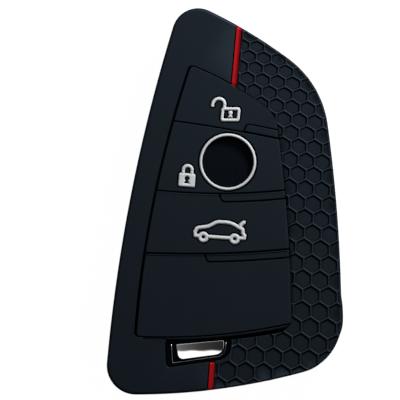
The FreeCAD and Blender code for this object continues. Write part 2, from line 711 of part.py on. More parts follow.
def make_trunk_icon():
    """Car outline of even stroke with two wheels and a raised tail lid, in parts of the car's length."""
    long = size("car_length")
    outline_points = [
        (-0.485, -0.10), (-0.488, -0.02), (-0.42, 0.052), (-0.192, 0.082), (-0.026, 0.17), (0.16, 0.172),
        (0.427, 0.043), (0.485, 0.022), (0.492, -0.068), (0.528, -0.108), (0.515, -0.16),
        (0.32, -0.165), (-0.32, -0.118),
    ]
    wheel_points = [(-0.322, -0.132), (0.32, -0.171)]
    lid_points = [(0.427, 0.043), (0.43, 0.125), (0.50, 0.165)]
    level = size("pad_top")
    rise = FreeCAD.Vector(0, 0, size("icon_rise"))
    start = FreeCAD.Vector(size("car_x"), size("car_y"), level)
    places = [start + FreeCAD.Vector(x * long, y * long, 0) for x, y in outline_points]
    wire = Part.makePolygon(places + places[:1])
    half = size("icon_stroke") / 2
    outer = Part.Face(wire.makeOffset2D(half)).extrude(rise)
    inner = Part.Face(wire.makeOffset2D(-half)).extrude(rise)
    icon = outer.cut(inner)
    hubs = []
    for x, y in wheel_points:
        middle = start + FreeCAD.Vector(x * long, y * long, 0)
        icon = icon.fuse(Part.makeCylinder(size("wheel_radius"), rise.z, middle))
        hubs.append(Part.makeCylinder(size("hub_radius"), rise.z, middle))
    for hub in hubs:
        icon = icon.cut(hub)
    lid = [start + FreeCAD.Vector(x * long, y * long, 0) for x, y in lid_points]
    for lid_start, lid_end in zip(lid, lid[1:]):
        along = (lid_end - lid_start).normalize()
        side = UP.cross(along) * half
        corners = [lid_start - side, lid_end - side, lid_end + side, lid_start + side]
        icon = icon.fuse(Part.Face(Part.makePolygon(corners + corners[:1])).extrude(rise))
        icon = icon.fuse(Part.makeCylinder(half, rise.z, lid_end))
    icon = icon.removeSplitter()
    feature = doc.addObject("Part::Feature", "trunk_icon")
    feature.Label = "trunk_icon"
    feature.Shape = icon.Solids[0]
    feature.Placement = FreeCAD.Placement()


# Remote housing
def make_housing():
    front = new_body("fob_front_housing")
    room = even_outline(size("room_inset"))
    block = pad(front, [even_outline(size("shell_inset"))], "front_split", "fob_face - front_split")
    soften(front, block, size("fob_face"), "fob_edge")
    pocket(front, [room], "face_underside", "face_underside - front_split")
    clear = 2 * size("key_gap")
    for name, at in KEYS.items():
        wide, high = size(name + "_key_wide") + clear, size(name + "_key_high") + clear
        hole = rectangle(wide, high, size("key_corner"))
        pocket(front, [hole], "fob_face", "housing_face", at)

    rear = new_body("fob_rear_housing")
    block = pad(rear, [even_outline(size("shell_inset"))], "lip_thickness", "split - lip_thickness")
    soften(rear, block, size("lip_thickness"), "fob_edge")
    pocket(rear, [room], "split", "split - floor_top")
    for name in ("tip", "side", "heel"):
        place = (name + "_post_x", name + "_post_y")
        round_pad(rear, ["post_radius"], "floor_top", "board_level - floor_top", place)
    cell = ("cell_x", "cell_y")
    round_pocket(rear, ["door_radius + door_gap"], "lip_thickness + door_step", "door_step", cell)
    round_pocket(rear, ["door_radius - door_lip + door_gap"], "floor_top", "housing_floor", cell)

    seal = new_body("housing_seal")
    inner = size("shell_inset") + size("seal_inset")
    pad(seal, [even_outline(inner), even_outline(inner + size("seal_width"))], "split", "seal_thickness")

    door = new_body("battery_cover")
    round_pad(door, ["door_radius"], "lip_thickness", "door_step", cell)
    round_pad(door, ["door_radius - door_lip"], "lip_thickness", "housing_floor", cell)


def make_trim():
    bezel = new_body("trim_bezel")
    pad(bezel, [even_window(size("bezel_gap"))], "fob_face", "bezel_thickness")
    rim = new_body("trim_rim")
    pad(rim, [rim_outline(0), rim_outline(size("rim_width"))], "bezel_top", "rim_rise")
    plate = new_body("chrome_plate")
    insets = [size("plate_" + side) for side in ("left", "bottom", "right", "top")]
    small = size("plate_corner")
    loop = window_loop(insets, [small, size("plate_heel_corner"), size("plate_round"), small])
    pad(plate, [loop], "bezel_top", "plate_thickness")


# Keys, switches and board
KEYS = {
    "unlock": ("unlock_key_x", "unlock_key_y"),
    "lock": ("ring_x", "ring_y"),
    "trunk": ("car_x", "car_y"),
}


def make_keys():
    reach = 2 * size("flange_reach")
    for name, at in KEYS.items():
        wide, high = size(name + "_key_wide"), size(name + "_key_high")
        key = new_body(name + "_key")
        pad(key, [rectangle(wide, high, size("key_corner"))], "face_underside", "housing_face", at)
        pad(key, [rectangle(wide + reach, high + reach, size("key_corner"))], "key_bottom", "key_flange", at)
        round_pad(key, ["stem_radius"], "plunger_top", "key_bottom - plunger_top", at)
        if name == "lock":
            round_pocket(key, ["disc_radius + key_gap / 2"], "fob_face", "disc_recess", at)
        plunger = new_body(name + "_plunger")
        round_pad(plunger, ["plunger_radius"], "plunger_bottom", "plunger_top - plunger_bottom", at)
        switch = new_body(name + "_switch")
        case = rectangle(size("switch_wide"), size("switch_wide"), size("small_corner"))
        pad(switch, [case], "board_top", "switch_height", at)
        well = "switch_height - switch_floor"
        round_pocket(switch, ["plunger_radius + plunger_gap"], "switch_top", well, at)
    disc = new_body("lock_key_disc")
    round_pad(disc, ["disc_radius"], "disc_level", "disc_thickness", KEYS["lock"])


def make_board():
    board = new_body("circuit_board")
    pad(board, [even_outline(size("room_inset") + size("board_gap"))], "board_level", "board_thickness")
    chip = new_body("control_chip")
    case = rectangle(size("chip_wide"), size("chip_wide"), size("small_corner"))
    pad(chip, [case], "board_top", "chip_height", ("chip_x", "chip_y"))
    coil = new_body("antenna_coil")
    case = rectangle(size("coil_wide"), size("coil_wide"), size("key_corner"))
    pad(coil, [case], "board_top", "plunger_top - board_top", ("coil_x", "coil_y"))


def make_power():
    at = ("cell_x", "cell_y")
    cell = new_body("coin_cell")
    round_pad(cell, ["cell_radius"], "floor_top", "cell_height", at)
    leaf = new_body("negative_contact")
    strip = rectangle(size("contact_long"), size("contact_wide"), size("small_corner"))
    pad(leaf, [strip], "cell_top", "contact_height", at)
    clip = new_body("positive_contact")
    beside = ("cell_x + cell_radius + clip_gap + clip_thickness / 2", "cell_y")
    strip = rectangle(size("clip_thickness"), size("clip_wide"), size("small_corner") / 2)
    pad(clip, [strip], "floor_top + door_step", "board_level - floor_top - door_step", beside)


def make_blade():
    blade = new_body("emergency_blade")
    wide, long = size("blade_wide"), size("blade_long")
    loop = turned_box(size("blade_x"), size("blade_y"), wide, long, size("blade_lean"), 0)
    pad(blade, [loop], "floor_top", "blade_thickness")


make_cover()
make_stripes()
make_pads()
make_ring()
make_lock_icon()
make_unlock_icon()
make_trunk_icon()
make_housing()
make_trim()
make_keys()
make_board()
make_power()
make_blade()
doc.recompute()

# Every sub-part is checked and written under its own name
os.makedirs("parts", exist_ok=True)
for item in doc.Objects:
    if {"Invalid", "Error"} & set(item.State):
        raise RuntimeError("%s did not build: %s" % (item.Label, item.State))
nodes = [item for item in doc.Objects if item.TypeId in ("PartDesign::Body", "Part::Feature")]
for node in nodes:
    shape = node.Shape
    if shape.isNull() or not shape.isValid() or len(shape.Solids) != 1:
        raise RuntimeError("%s is not one valid solid" % node.Label)
    shape.exportStep("parts/%s.step" % node.Label)
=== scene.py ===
import math

import bpy
import numpy as np
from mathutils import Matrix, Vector
from mathutils.geometry import delaunay_2d_cdt


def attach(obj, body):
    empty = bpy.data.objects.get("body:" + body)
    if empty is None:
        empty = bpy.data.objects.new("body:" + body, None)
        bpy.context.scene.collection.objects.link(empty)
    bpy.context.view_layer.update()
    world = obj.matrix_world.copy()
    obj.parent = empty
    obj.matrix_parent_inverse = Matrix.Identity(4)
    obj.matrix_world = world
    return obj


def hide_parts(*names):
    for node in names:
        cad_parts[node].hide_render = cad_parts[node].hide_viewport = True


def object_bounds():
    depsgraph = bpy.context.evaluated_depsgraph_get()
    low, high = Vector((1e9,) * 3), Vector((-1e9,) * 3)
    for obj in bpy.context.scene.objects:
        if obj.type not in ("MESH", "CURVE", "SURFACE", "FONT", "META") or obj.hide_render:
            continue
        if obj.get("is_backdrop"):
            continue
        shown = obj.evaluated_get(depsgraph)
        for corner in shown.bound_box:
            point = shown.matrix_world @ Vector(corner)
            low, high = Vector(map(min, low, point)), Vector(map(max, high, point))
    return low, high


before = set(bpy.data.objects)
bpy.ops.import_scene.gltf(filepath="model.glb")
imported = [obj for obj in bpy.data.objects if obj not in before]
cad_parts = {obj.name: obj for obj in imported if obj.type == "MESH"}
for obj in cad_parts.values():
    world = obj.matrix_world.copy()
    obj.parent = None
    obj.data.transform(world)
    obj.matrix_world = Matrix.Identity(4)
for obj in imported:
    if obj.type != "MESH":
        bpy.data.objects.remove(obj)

CAD_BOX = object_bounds()
MM = 0.001

# Plan sizes in millimetres as in the CAD source; a plan point is a complex number
OUTLINE_CORNERS = [-10.75 + 50.5j, -30.12 - 47.95j, 28.8 - 39.7j, 24.0 + 28.85j]
OUTLINE_BOWS = [410, 160, 370, 120]
OUTLINE_ROUNDS = [6.5, 7.3, 13.3, 24.5]
OUTLINE_GROW, OUTLINE_LEAST_ROUND = 0.155, 0.5
PANEL_INSETS = [6.4, 14.11, 12.3, 17.2]
PANEL_ROUNDS = [1.2, 1.1, 1.0, 9.0]
PANEL_LEFT, PANEL_LEFT_BOW = 255.39 - 54.83j, 278.7
PANEL_TURNS = [0, 7.3, 0, 7.75]
SLIT, LEFT_GROOVE = 0.16, 0.42
RECESS_MOVE, RECESS_LEFT, RECESS_RIGHT, RECESS_SLANT = 2.0 - 1.26j, -20.6, 16.3, 1.25
RECESS_STEP, RECESS_LOW, RECESS_LINE = -15.2, 0.4, 0.1
SCOOP_TOP, SCOOP_FALL, SCOOP_BEND = 0.02, 0.8, 2.2
# A separator has its heights at both ends of its span and its sag, a bar its start and side of the separator
SEPARATOR_SPAN = 16.0
SEPARATORS = {"first": (20.52, 15.03, -0.39), "second": (2.68, 2.98, 0.83), "third": (-12.95, -11.85, 0.52)}
BARS = {"first": (4.7, 1), "second": (-1.5, -1), "third": (-5.16, -1)}
BAR_EDGE, BAR_WIDTH, BAR_SLANT, BAR_ROUND, BAR_RISE = 0.05, 1.8, 0.38, 0.65, 0.35
RING, HOLE_RADIUS, RING_WIDTH, RING_RISE = 0.58 + 9.89j, 6.4, 0.72, 0.45
# A stripe has its start and its lean in degrees, and painted shades of its middle, dark side and light side
STRIPES = {"upper": (2.13 + 28.75j, 5.0), "lower": (-3.26 - 40.25j, 184.2)}
STRIPE_WIDTH, STRIPE_RISE, STRIPE_HOLLOW = 1.27, 0.06, 0.16
STRIPE_SHADES = {"upper": (0.19, 0.3, 0.16), "lower": (0, 0.3, 0.1)}
WINDOW_CORNERS = [-15.06 - 34.9j, -14.74 - 41.5j, 0.79 - 39.25j, 1.51 - 34.25j]
WINDOW_ROUNDS, WINDOW_LEAST_ROUND = [0.9, 0.9, 3.4, 0.9], 0.2
STRAIGHT = [1e5] * 4
# Edges of a shape in order
LEFT, BOTTOM, RIGHT, TOP = range(4)

# Heights in millimetres
FACE, FOB_FACE, PAD_TOP, PAD_BOTTOM = 16.6, 15.0, 16.7, 15.7
FRONT_EDGE, REAR_EDGE, LIP, LIP_INSET = 0.7, 3.0, 1.4, 6.6
GROOVE_DEPTH, COMB_DEPTH, COMB_WALL = 0.6, 0.5, 0.34
RECESS_DEPTH, RECESS_WALL = 1.35, 0.12
BEZEL_TOP, PLATE_TOP = 15.5, 15.95
PAD_EDGE = 0.14


def smooth(t):
    """Soft step from 0 to 1."""
    t = np.clip(t, 0, 1)
    return t * t * (3 - 2 * t)


def band(x, start, rise, end, fall):
    """Soft band that rises from 0 to 1 over a length after its start and falls over another after its end."""
    return smooth((x - start) / rise) * (1 - smooth((x - end) / fall))


def cross(a, b):
    """Cross product of plan vectors."""
    return (np.conj(a) * b).imag


# Plan curves
def bow_centre(start, end, radius):
    """Centre of the arc from start to end that has its centre on the left."""
    chord = end - start
    return (start + end) / 2 + 1j * chord / abs(chord) * math.sqrt(radius ** 2 - abs(chord) ** 2 / 4)


def circles_meet(centre_a, radius_a, centre_b, radius_b, near):
    """Meeting point of two circles, of the two the one nearer to a given point."""
    span = centre_b - centre_a
    along = (radius_a ** 2 - radius_b ** 2 + abs(span) ** 2) / (2 * abs(span))
    across = math.sqrt(max(radius_a ** 2 - along ** 2, 0))
    places = [centre_a + span / abs(span) * complex(along, side * across) for side in (1, -1)]
    return min(places, key=lambda place: abs(place - near))


def arc_points(centre, radius, start, end, step):
    """Points of the shorter arc from start to just before end."""
    sweep = np.angle((end - centre) / (start - centre))
    count = max(int(abs(sweep) * radius / step), 2)
    return centre + radius * np.exp(1j * (np.angle(start - centre) + sweep * np.arange(count) / count))


def quarter_turn(step):
    """Cosines and sines from 0 to 90 degrees."""
    turns = [math.radians(angle) for angle in range(0, 91, step)]
    return [(math.cos(turn), math.sin(turn)) for turn in turns]


class Shape:
    """Four bowed edges with round corners, counter-clockwise, each edge moved inward by its inset."""

    def __init__(self, corners, bows, insets, rounds, moves=(0, 0, 0, 0), left=None):
        self.rounds = rounds
        self.circles = []
        for index, bow in enumerate(bows):
            centre = bow_centre(corners[index], corners[(index + 1) % 4], bow)
            self.circles.append((centre + moves[index], bow - insets[index]))
        self.circles[LEFT] = left or self.circles[LEFT]
        self.turns = []
        for index, radius in enumerate(rounds):
            before, after = self.circles[index - 1], self.circles[index]
            self.turns.append(circles_meet(
                before[0], before[1] - radius, after[0], after[1] - radius, corners[index]))

    def sectors(self, p):
        """For every round corner the rays from its centre and which of them lie in the corner."""
        for index, turn in enumerate(self.turns):
            ray = p - turn
            first = turn - self.circles[index - 1][0]
            last = turn - self.circles[index][0]
            yield self.rounds[index], ray, (cross(first, ray) >= 0) & (cross(ray, last) >= 0)

    def depth(self, p):
        """Distance inside the edge."""
        inside = np.min([reach - abs(p - centre) for centre, reach in self.circles], axis=0)
        for radius, ray, sector in self.sectors(p):
            inside = np.where(sector, radius - abs(ray), inside)
        return inside

    def outward(self, p):
        """Unit direction from the inside to the edge."""
        gaps = np.array([reach - abs(p - centre) for centre, reach in self.circles])
        centres = np.array([centre for centre, reach in self.circles])
        away = p - centres[np.argmin(gaps, axis=0)]
        for radius, ray, sector in self.sectors(p):
            away = np.where(sector, ray, away)
        return away / np.maximum(abs(away), 1e-9)

    def edge_ends(self, index):
        """Ends of an edge, where its corners start."""
        centre, reach = self.circles[index]
        rays = [self.turns[index] - centre, self.turns[(index + 1) % 4] - centre]
        return [centre + reach * ray / abs(ray) for ray in rays]

    def corner(self, index, step):
        """Points of the round corner before an edge."""
        start, end = self.edge_ends(index - 1)[1], self.edge_ends(index)[0]
        return arc_points(self.turns[index], self.rounds[index], start, end, step)

    def edge(self, index, step, start=None, end=None):
        """Points of an edge, or of the part of it from a start to an end."""
        ends = self.edge_ends(index)
        start = ends[0] if start is None else start
        end = ends[1] if end is None else end
        return arc_points(*self.circles[index], start, end, step)

    def loop(self, step):
        """Points all round."""
        parts = []
        for index in range(4):
            parts += [self.corner(index, step / 3), self.edge(index, step)]
        return np.concatenate(parts)


def cover_shape(inset=0):
    """Outline of the cover moved inward."""
    rounds = [max(radius - inset, OUTLINE_LEAST_ROUND) for radius in OUTLINE_ROUNDS]
    return Shape(OUTLINE_CORNERS, OUTLINE_BOWS, [inset - OUTLINE_GROW] * 4, rounds)


def panel_shape(gap=0, groove=0):
    """Button panel moved inward by a gap, its left edge out by a groove."""
    insets = [inset + gap for inset in PANEL_INSETS]
    rounds = [radius - gap for radius in PANEL_ROUNDS]
    left = (PANEL_LEFT, PANEL_LEFT_BOW - gap + groove)
    return Shape(OUTLINE_CORNERS, OUTLINE_BOWS, insets, rounds, PANEL_TURNS, left)


def window_shape(inset=0):
    """Window moved inward."""
    rounds = [max(radius - inset, WINDOW_LEAST_ROUND) for radius in WINDOW_ROUNDS]
    return Shape(WINDOW_CORNERS, STRAIGHT, [inset] * 4, rounds)


OUTER = cover_shape()
PANEL = panel_shape()
OPENING = panel_shape(0, LEFT_GROOVE)
WINDOW = window_shape()


def separator(name, shift=0):
    """Centre and radius of a line between two pads, moved up by a shift."""
    left, right, sag = SEPARATORS[name]
    start, end = complex(-SEPARATOR_SPAN, left), complex(SEPARATOR_SPAN, right)
    radius = (abs(end - start) ** 2 / 4 + sag ** 2) / (2 * abs(sag))
    if sag > 0:
        return bow_centre(start, end, radius), radius - shift
    return bow_centre(end, start, radius), radius + shift


def above(name, p):
    """Distance of points above a separator."""
    centre, radius = separator(name)
    return radius - abs(p - centre) if SEPARATORS[name][2] > 0 else abs(p - centre) - radius


def separator_point(name, shift, x):
    """Point of a moved separator at a place across the panel."""
    centre, radius = separator(name, shift)
    rise = math.sqrt(radius ** 2 - (x - centre.real) ** 2)
    return complex(x, centre.imag - rise if SEPARATORS[name][2] > 0 else centre.imag + rise)


def crossing(name, shift, shape, edge):
    """Point where a separator meets the left or right edge of the panel."""
    left, right, sag = SEPARATORS[name]
    near = complex(-SEPARATOR_SPAN, left) if edge == LEFT else complex(SEPARATOR_SPAN, right)
    return circles_meet(*separator(name, shift), *shape.circles[edge], near)


def pad_loop(upper, lower, gap, groove=0, step=0.8):
    """Panel edge between two separators, counter-clockwise; without one it runs to the panel's end."""
    shape, fine = panel_shape(gap, groove), step / 4
    left_start, right_end = [crossing(upper, -gap, shape, edge) if upper else None for edge in (LEFT, RIGHT)]
    left_end, right_start = [crossing(lower, gap, shape, edge) if lower else None for edge in (LEFT, RIGHT)]
    parts = [] if upper else [shape.corner(LEFT, fine)]
    parts.append(shape.edge(LEFT, step, left_start, left_end))
    if lower:
        parts.append(arc_points(*separator(lower, gap), left_end, right_start, step))
    else:
        parts += [shape.corner(BOTTOM, fine), shape.edge(BOTTOM, step), shape.corner(RIGHT, fine)]
    parts.append(shape.edge(RIGHT, step, right_start, right_end))
    if upper:
        parts.append(arc_points(*separator(upper, -gap), right_end, left_start, step))
    else:
        parts += [shape.corner(TOP, step), shape.edge(TOP, step)]
    return np.concatenate(parts)


def pad_depth(upper, lower, p, shape=PANEL):
    """Distance inside the panel and between two separators."""
    inside = shape.depth(p)
    if upper:
        inside = np.minimum(inside, -above(upper, p))
    if lower:
        inside = np.minimum(inside, above(lower, p))
    return inside


def inside_right(p):
    """Distance inside the right edge of the panel."""
    centre, reach = PANEL.circles[RIGHT]
    return reach - abs(p - centre)


# Raised bars beside the separators
BAR_INSETS = (-0.42, -0.34, -0.28, -0.22, -0.1, -0.05, 0.0, 0.05, 0.12, 0.2, 0.28)
BAR_GAP, BAR_SLANT_LENGTH = SLIT + BAR_EDGE, math.hypot(1, BAR_SLANT)
BAR_FOOT, BAR_SIDE = -0.1, 0.3
BAR_GROOVE, BAR_GROOVE_DEPTH = (-0.34, 0.12, BAR_FOOT, 0.1), 0.3


def bar_turn(name):
    """Centre of the round corner of a bar and the directions from it to the far side and to the start."""
    start, side = BARS[name]
    reach = BAR_WIDTH - BAR_ROUND
    shift = side * (BAR_GAP + reach)
    centre, radius = separator(name, shift)
    place = separator_point(name, shift, start + reach * BAR_SLANT + BAR_ROUND * BAR_SLANT_LENGTH)
    far = (place - centre) / radius * (-side if SEPARATORS[name][2] > 0 else side)
    along = -1j * side * far
    return place, far, (BAR_SLANT * far - along) / BAR_SLANT_LENGTH


def bar_depth(name, p):
    """Distance inside a bar."""
    start, side = BARS[name]
    near = above(name, p) * side - BAR_GAP
    far = BAR_WIDTH - near
    right = inside_right(p) - BAR_GAP
    left = (p.real - start - near * BAR_SLANT) / BAR_SLANT_LENGTH
    turn = BAR_ROUND - np.hypot(np.maximum(BAR_ROUND - far, 0), np.maximum(BAR_ROUND - left, 0))
    return np.min([near, far, left, right, turn], axis=0)


def bar_loop(name, inset, step=0.5, bend_step=0.12):
    """Edge of a bar moved inward."""
    start, side = BARS[name]
    panel = panel_shape(BAR_GAP + inset)
    place, far, left = bar_turn(name)
    shift = side * (BAR_GAP + inset)
    corner = separator_point(name, shift, start + inset * (BAR_SLANT + BAR_SLANT_LENGTH))
    near_end = crossing(name, shift, panel, RIGHT)
    near = arc_points(*separator(name, shift), corner, near_end, step)
    shift = side * (BAR_GAP + BAR_WIDTH - inset)
    far_end = crossing(name, shift, panel, RIGHT)
    turn = BAR_ROUND - inset
    back = arc_points(*separator(name, shift), far_end, place + turn * far, step)
    bend = arc_points(place, turn, place + turn * far, place + turn * left, bend_step)
    return np.concatenate([near, [near_end], back, bend, [place + turn * left]])


def bar_relief(name, p):
    """A fine groove round a raised bar with soft edges."""
    inside = bar_depth(name, p)
    return BAR_RISE * smooth((inside - BAR_FOOT) / BAR_SIDE) - BAR_GROOVE_DEPTH * band(inside, *BAR_GROOVE)


# Fade of relief toward the outline
EDGE_SHARE, EDGE_REACH = 0.15, 0.8


def edge_fade(p):
    """1 on the front, falling to a small share at the outline."""
    return EDGE_SHARE + (1 - EDGE_SHARE) * smooth(OUTER.depth(p) / EDGE_REACH)


# Recess below the panel
RECESS_STEP_RUN, SCOOP_LEFT, SCOOP_RUN, SCOOP_ENDS, LEAST_WIDTH = 0.8, -16.2, 2, 0.3, 0.1


def recess_move(x):
    """Move of the lower edge of the recess, less on the left of a step."""
    return RECESS_MOVE * (RECESS_LOW + (1 - RECESS_LOW) * smooth((x - RECESS_STEP) / RECESS_STEP_RUN))


def recess_sides(p):
    """Distances below the panel's lower edge and above the same edge moved away from it."""
    centre, reach = PANEL.circles[BOTTOM]
    return abs(p - centre) - reach, reach - abs(p - centre - recess_move(p.real))


def recess_depth(p):
    """Distance inside the band between the panel's lower edge and the same edge moved away from it."""
    below, lower = recess_sides(p)
    right = (RECESS_RIGHT - RECESS_SLANT * below - p.real) / math.hypot(1, RECESS_SLANT)
    return np.min([below + RECESS_WALL, lower, p.real - RECESS_LEFT, right], axis=0)


def recess_scoop(p):
    """Height of the scoop that fills the recess below a fine line and falls away from the panel."""
    below, lower = recess_sides(p)
    share = np.clip(below / np.maximum(below + lower, LEAST_WIDTH), 0, 1)
    sink = SCOOP_TOP + SCOOP_FALL * share ** SCOOP_BEND * smooth((p.real - SCOOP_LEFT) / SCOOP_RUN)
    return (RECESS_DEPTH - sink) * smooth((recess_depth(p) - RECESS_WALL) / RECESS_LINE)


def recess_side(share, offset, inset, step=0.3):
    """Line in the recess at a share of its width, out by an offset, short of the ends of the recess."""
    centre, reach = PANEL.circles[BOTTOM]
    radius = reach + offset

    def line(x, move):
        middle = centre + move
        return x + 1j * (middle.imag - np.sqrt(radius ** 2 - (x - middle.real) ** 2))

    right = RECESS_RIGHT
    for _ in range(8):
        below = abs(line(right, share * RECESS_MOVE) - centre) - reach
        right = RECESS_RIGHT - RECESS_SLANT * below - inset * math.hypot(1, RECESS_SLANT)
    x = np.append(np.arange(RECESS_LEFT + inset, right, step), right)
    return line(x, share * recess_move(x))


def recess_loop(inset):
    """Edge of the recess moved inward."""
    upper = recess_side(0, inset - RECESS_WALL, inset)
    return np.concatenate([upper, recess_side(1, -inset, inset)[::-1]])


def scoop_loop(first, second):
    """Loop along two lines of the scoop, at shares of its width."""
    upper = recess_side(first, 0, SCOOP_ENDS)
    return np.concatenate([upper, recess_side(second, 0, SCOOP_ENDS)[::-1]])


# Honeycomb grip
COMB_START, COMB_PITCH, COMB_GROWTH = 17.133 + 37.574j, 3.703, 0.0352
COMB_LEAN, COMB_LEAN_GROWTH = 0.083, 0.0023
COMB_ROW, COMB_ROW_GROWTH, COMB_ROW_EASING = 2.515, 0.0611, 0.00077
COMB_TILT, COMB_TILT_EASING = 0.443, 0.0064
COMB_ROWS, COMB_COLUMNS = range(-3, 26), range(-8, 5)
COMB_RIB, WINDOW_WALL, LEAST_CELL = 0.1, 0.4, 1 / 8
CELL_CORNER, WALL_SHARES, SIDE_SHARES = 0.1, (-0.1, 0.2, 0.5, 0.8, 1.1, 1.5), (0, 0.12, 0.5, 0.88)
LEAST_SCALE = 0.05
RIB_BAND, FOOT_BAND, FOOT_DARK = (-0.03, 0.06, 0.12, 0.12), (0.12, 0.12, 0.34, 0.14), 0.65
CELL = [(-2 / 3, 0), (-1 / 3, -1 / 2), (1 / 3, -1 / 2), (2 / 3, 0), (1 / 3, 1 / 2), (-1 / 3, 1 / 2)]


def comb_point(row, column):
    """Plan position in the honeycomb, counted in rows and columns from its start cell."""
    pitch = COMB_PITCH + COMB_GROWTH * row
    lean = COMB_LEAN + COMB_LEAN_GROWTH * row
    drop = COMB_ROW + COMB_ROW_GROWTH * row - COMB_ROW_EASING * row ** 2
    tilt = COMB_TILT - COMB_TILT_EASING * row
    return COMB_START + complex(column * pitch - lean * row, -drop * row - column * tilt)


def stripe_direction(name):
    """Unit direction of a stripe."""
    return np.exp(1j * math.radians(90 - STRIPES[name][1]))


def right_of(polygon, start, along):
    """Part of a polygon on the right of a line."""
    kept = []
    for index, here in enumerate(polygon):
        before = polygon[index - 1]
        side_before, side = cross(along, before - start), cross(along, here - start)
        if side_before * side < 0:
            kept.append(before + (here - before) * (side_before / (side_before - side)))
        if side <= 0:
            kept.append(here)
    return kept


def right_of_stripe(polygon, name):
    """Part of a polygon on the honeycomb's side of a stripe."""
    along = stripe_direction(name)
    along = along if along.imag > 0 else -along
    return right_of(polygon, STRIPES[name][0] - 1j * along * (STRIPE_WIDTH / 2 + SLIT), along)


def right_of_window(polygon):
    """Part of a polygon on the right of the window and its wall."""
    along = WINDOW_CORNERS[3] - WINDOW_CORNERS[2]
    return right_of(polygon, WINDOW_CORNERS[2] - 1j * along / abs(along) * WINDOW_WALL, along)


def beyond(polygon, start, end):
    """True where a polygon lies wholly on the right of a line."""
    return np.all(cross(end - start, polygon - start) < 0)


def comb_cells():
    """Cells between the outline, the panel, the stripes and the window, counter-clockwise."""
    shrink = 1 - COMB_RIB / COMB_PITCH
    cells = []
    for row in COMB_ROWS:
        for step in COMB_COLUMNS:
            column = step + 0.5 * (row % 2 == 0)
            middle = comb_point(row, column)
            if PANEL.depth(middle) > COMB_PITCH / 2 or OUTER.depth(middle) < -COMB_PITCH / 2:
                continue
            cell = [comb_point(row + up * shrink, column + along * shrink) for up, along in CELL]
            cell = right_of_stripe(cell, "upper" if middle.imag > 0 else "lower")
            if middle.imag < 0 and not (cell and beyond(np.array(cell), *WINDOW_CORNERS[1:3])):
                cell = right_of_window(cell)
            if len(cell) < 3:
                continue
            cell = np.array(cell)
            area = np.sum(cross(cell, np.roll(cell, -1))) / 2
            if abs(area) < COMB_PITCH ** 2 * LEAST_CELL:
                continue
            cells.append(cell if area > 0 else cell[::-1])
    return cells


CELLS = comb_cells()


def cell_depths(p):
    """For every cell the points near it and their distance inside it, soft at its corners."""
    for cell in CELLS:
        near = np.flatnonzero(abs(p - cell.mean()) < COMB_PITCH)
        if len(near):
            sides = np.roll(cell, -1) - cell
            gaps = [cross(side / abs(side), p[near] - start) for start, side in zip(cell, sides)]
            yield near, -CELL_CORNER * np.log(np.sum(np.exp(-np.array(gaps) / CELL_CORNER), axis=0))


def comb_relief(p):
    """Sunk floors of the cells between round ribs that fade at the outline."""
    relief = np.zeros(p.shape)
    for near, inside in cell_depths(p):
        relief[near] = np.minimum(relief[near], -COMB_DEPTH * smooth(inside / COMB_WALL))
    return relief * edge_fade(p)


def comb_tone(p):
    """Painted highlight along the top of the ribs and painted shade along their foot."""
    tone = np.zeros(p.shape)
    for near, inside in cell_depths(p):
        tone[near] += band(inside, *RIB_BAND) - FOOT_DARK * band(inside, *FOOT_BAND)
    return tone


def comb_loops():
    """Loops along the walls of the cells."""
    loops = []
    for cell in CELLS:
        middle = cell.mean()
        sides = np.roll(cell, -1) - cell
        room = min(abs(cross(side / abs(side), middle - start)) for start, side in zip(cell, sides))
        split = [start + side * share for start, side in zip(cell, sides) for share in SIDE_SHARES]
        for share in WALL_SHARES:
            scale = 1 - share * COMB_WALL / room
            if scale > LEAST_SCALE:
                loops.append(middle + (np.array(split) - middle) * scale)
    return loops


# Meshes
WELD, LEAST_AREA, LEAST_LENGTH = 1e-4, 1e-9, 1e-9


def triangulate(loops, loose=()):
    """Plan points and counter-clockwise triangles that keep the sides of all loops and loose points."""
    points, edges = list(loose), []
    for loop in loops:
        start, count = len(points), len(loop)
        points += list(loop)
        edges += [(start + i, start + (i + 1) % count) for i in range(count)]
    verts, _, faces, *_ = delaunay_2d_cdt([Vector((z.real, z.imag)) for z in points], edges, [], 0, WELD)
    plan = np.array([complex(v.x, v.y) for v in verts])
    faces = np.array(faces)
    area = cross(plan[faces[:, 1]] - plan[faces[:, 0]], plan[faces[:, 2]] - plan[faces[:, 0]])
    solid = abs(area) > LEAST_AREA
    faces = faces[solid]
    return plan, np.where((area[solid] > 0)[:, None], faces, faces[:, ::-1])


def keep_used(plan, faces):
    """Drops the points that no face uses."""
    used, packed = np.unique(faces, return_inverse=True)
    return plan[used], packed.reshape(faces.shape)


def rim_edges(faces):
    """Edges of the triangles that only one triangle has, in its direction."""
    pairs = np.concatenate([faces[:, [0, 1]], faces[:, [1, 2]], faces[:, [2, 0]]])
    known = {tuple(pair) for pair in pairs}
    return [pair for pair in known if (pair[1], pair[0]) not in known]


def edge_points(edges):
    """Points that edges use, in order."""
    return sorted({i for edge in edges for i in edge})


def slope(relief, p, reach=0.015):
    """Gradient of a relief as a complex number."""
    across = (relief(p + reach) - relief(p - reach)) / (2 * reach)
    along = (relief(p + 1j * reach) - relief(p - 1j * reach)) / (2 * reach)
    return across + 1j * along


def grid(low, high, across, up):
    """Plan points of a grid, row by row, and the length of a row."""
    x = np.arange(low.real, high.real, across)
    y = np.arange(low.imag, high.imag, up)
    return (x[None, :] + 1j * y[:, None]).ravel(), len(x)


def circle(count):
    """Unit directions all round."""
    return np.exp(2j * math.pi * np.arange(count) / count)


def stack(p, z):
    """Points in space over plan points."""
    return np.column_stack([p.real, p.imag, np.broadcast_to(z, p.shape)])


def unit(vectors):
    """Vectors of length 1."""
    return vectors / np.maximum(np.linalg.norm(vectors, axis=1), LEAST_LENGTH)[:, None]


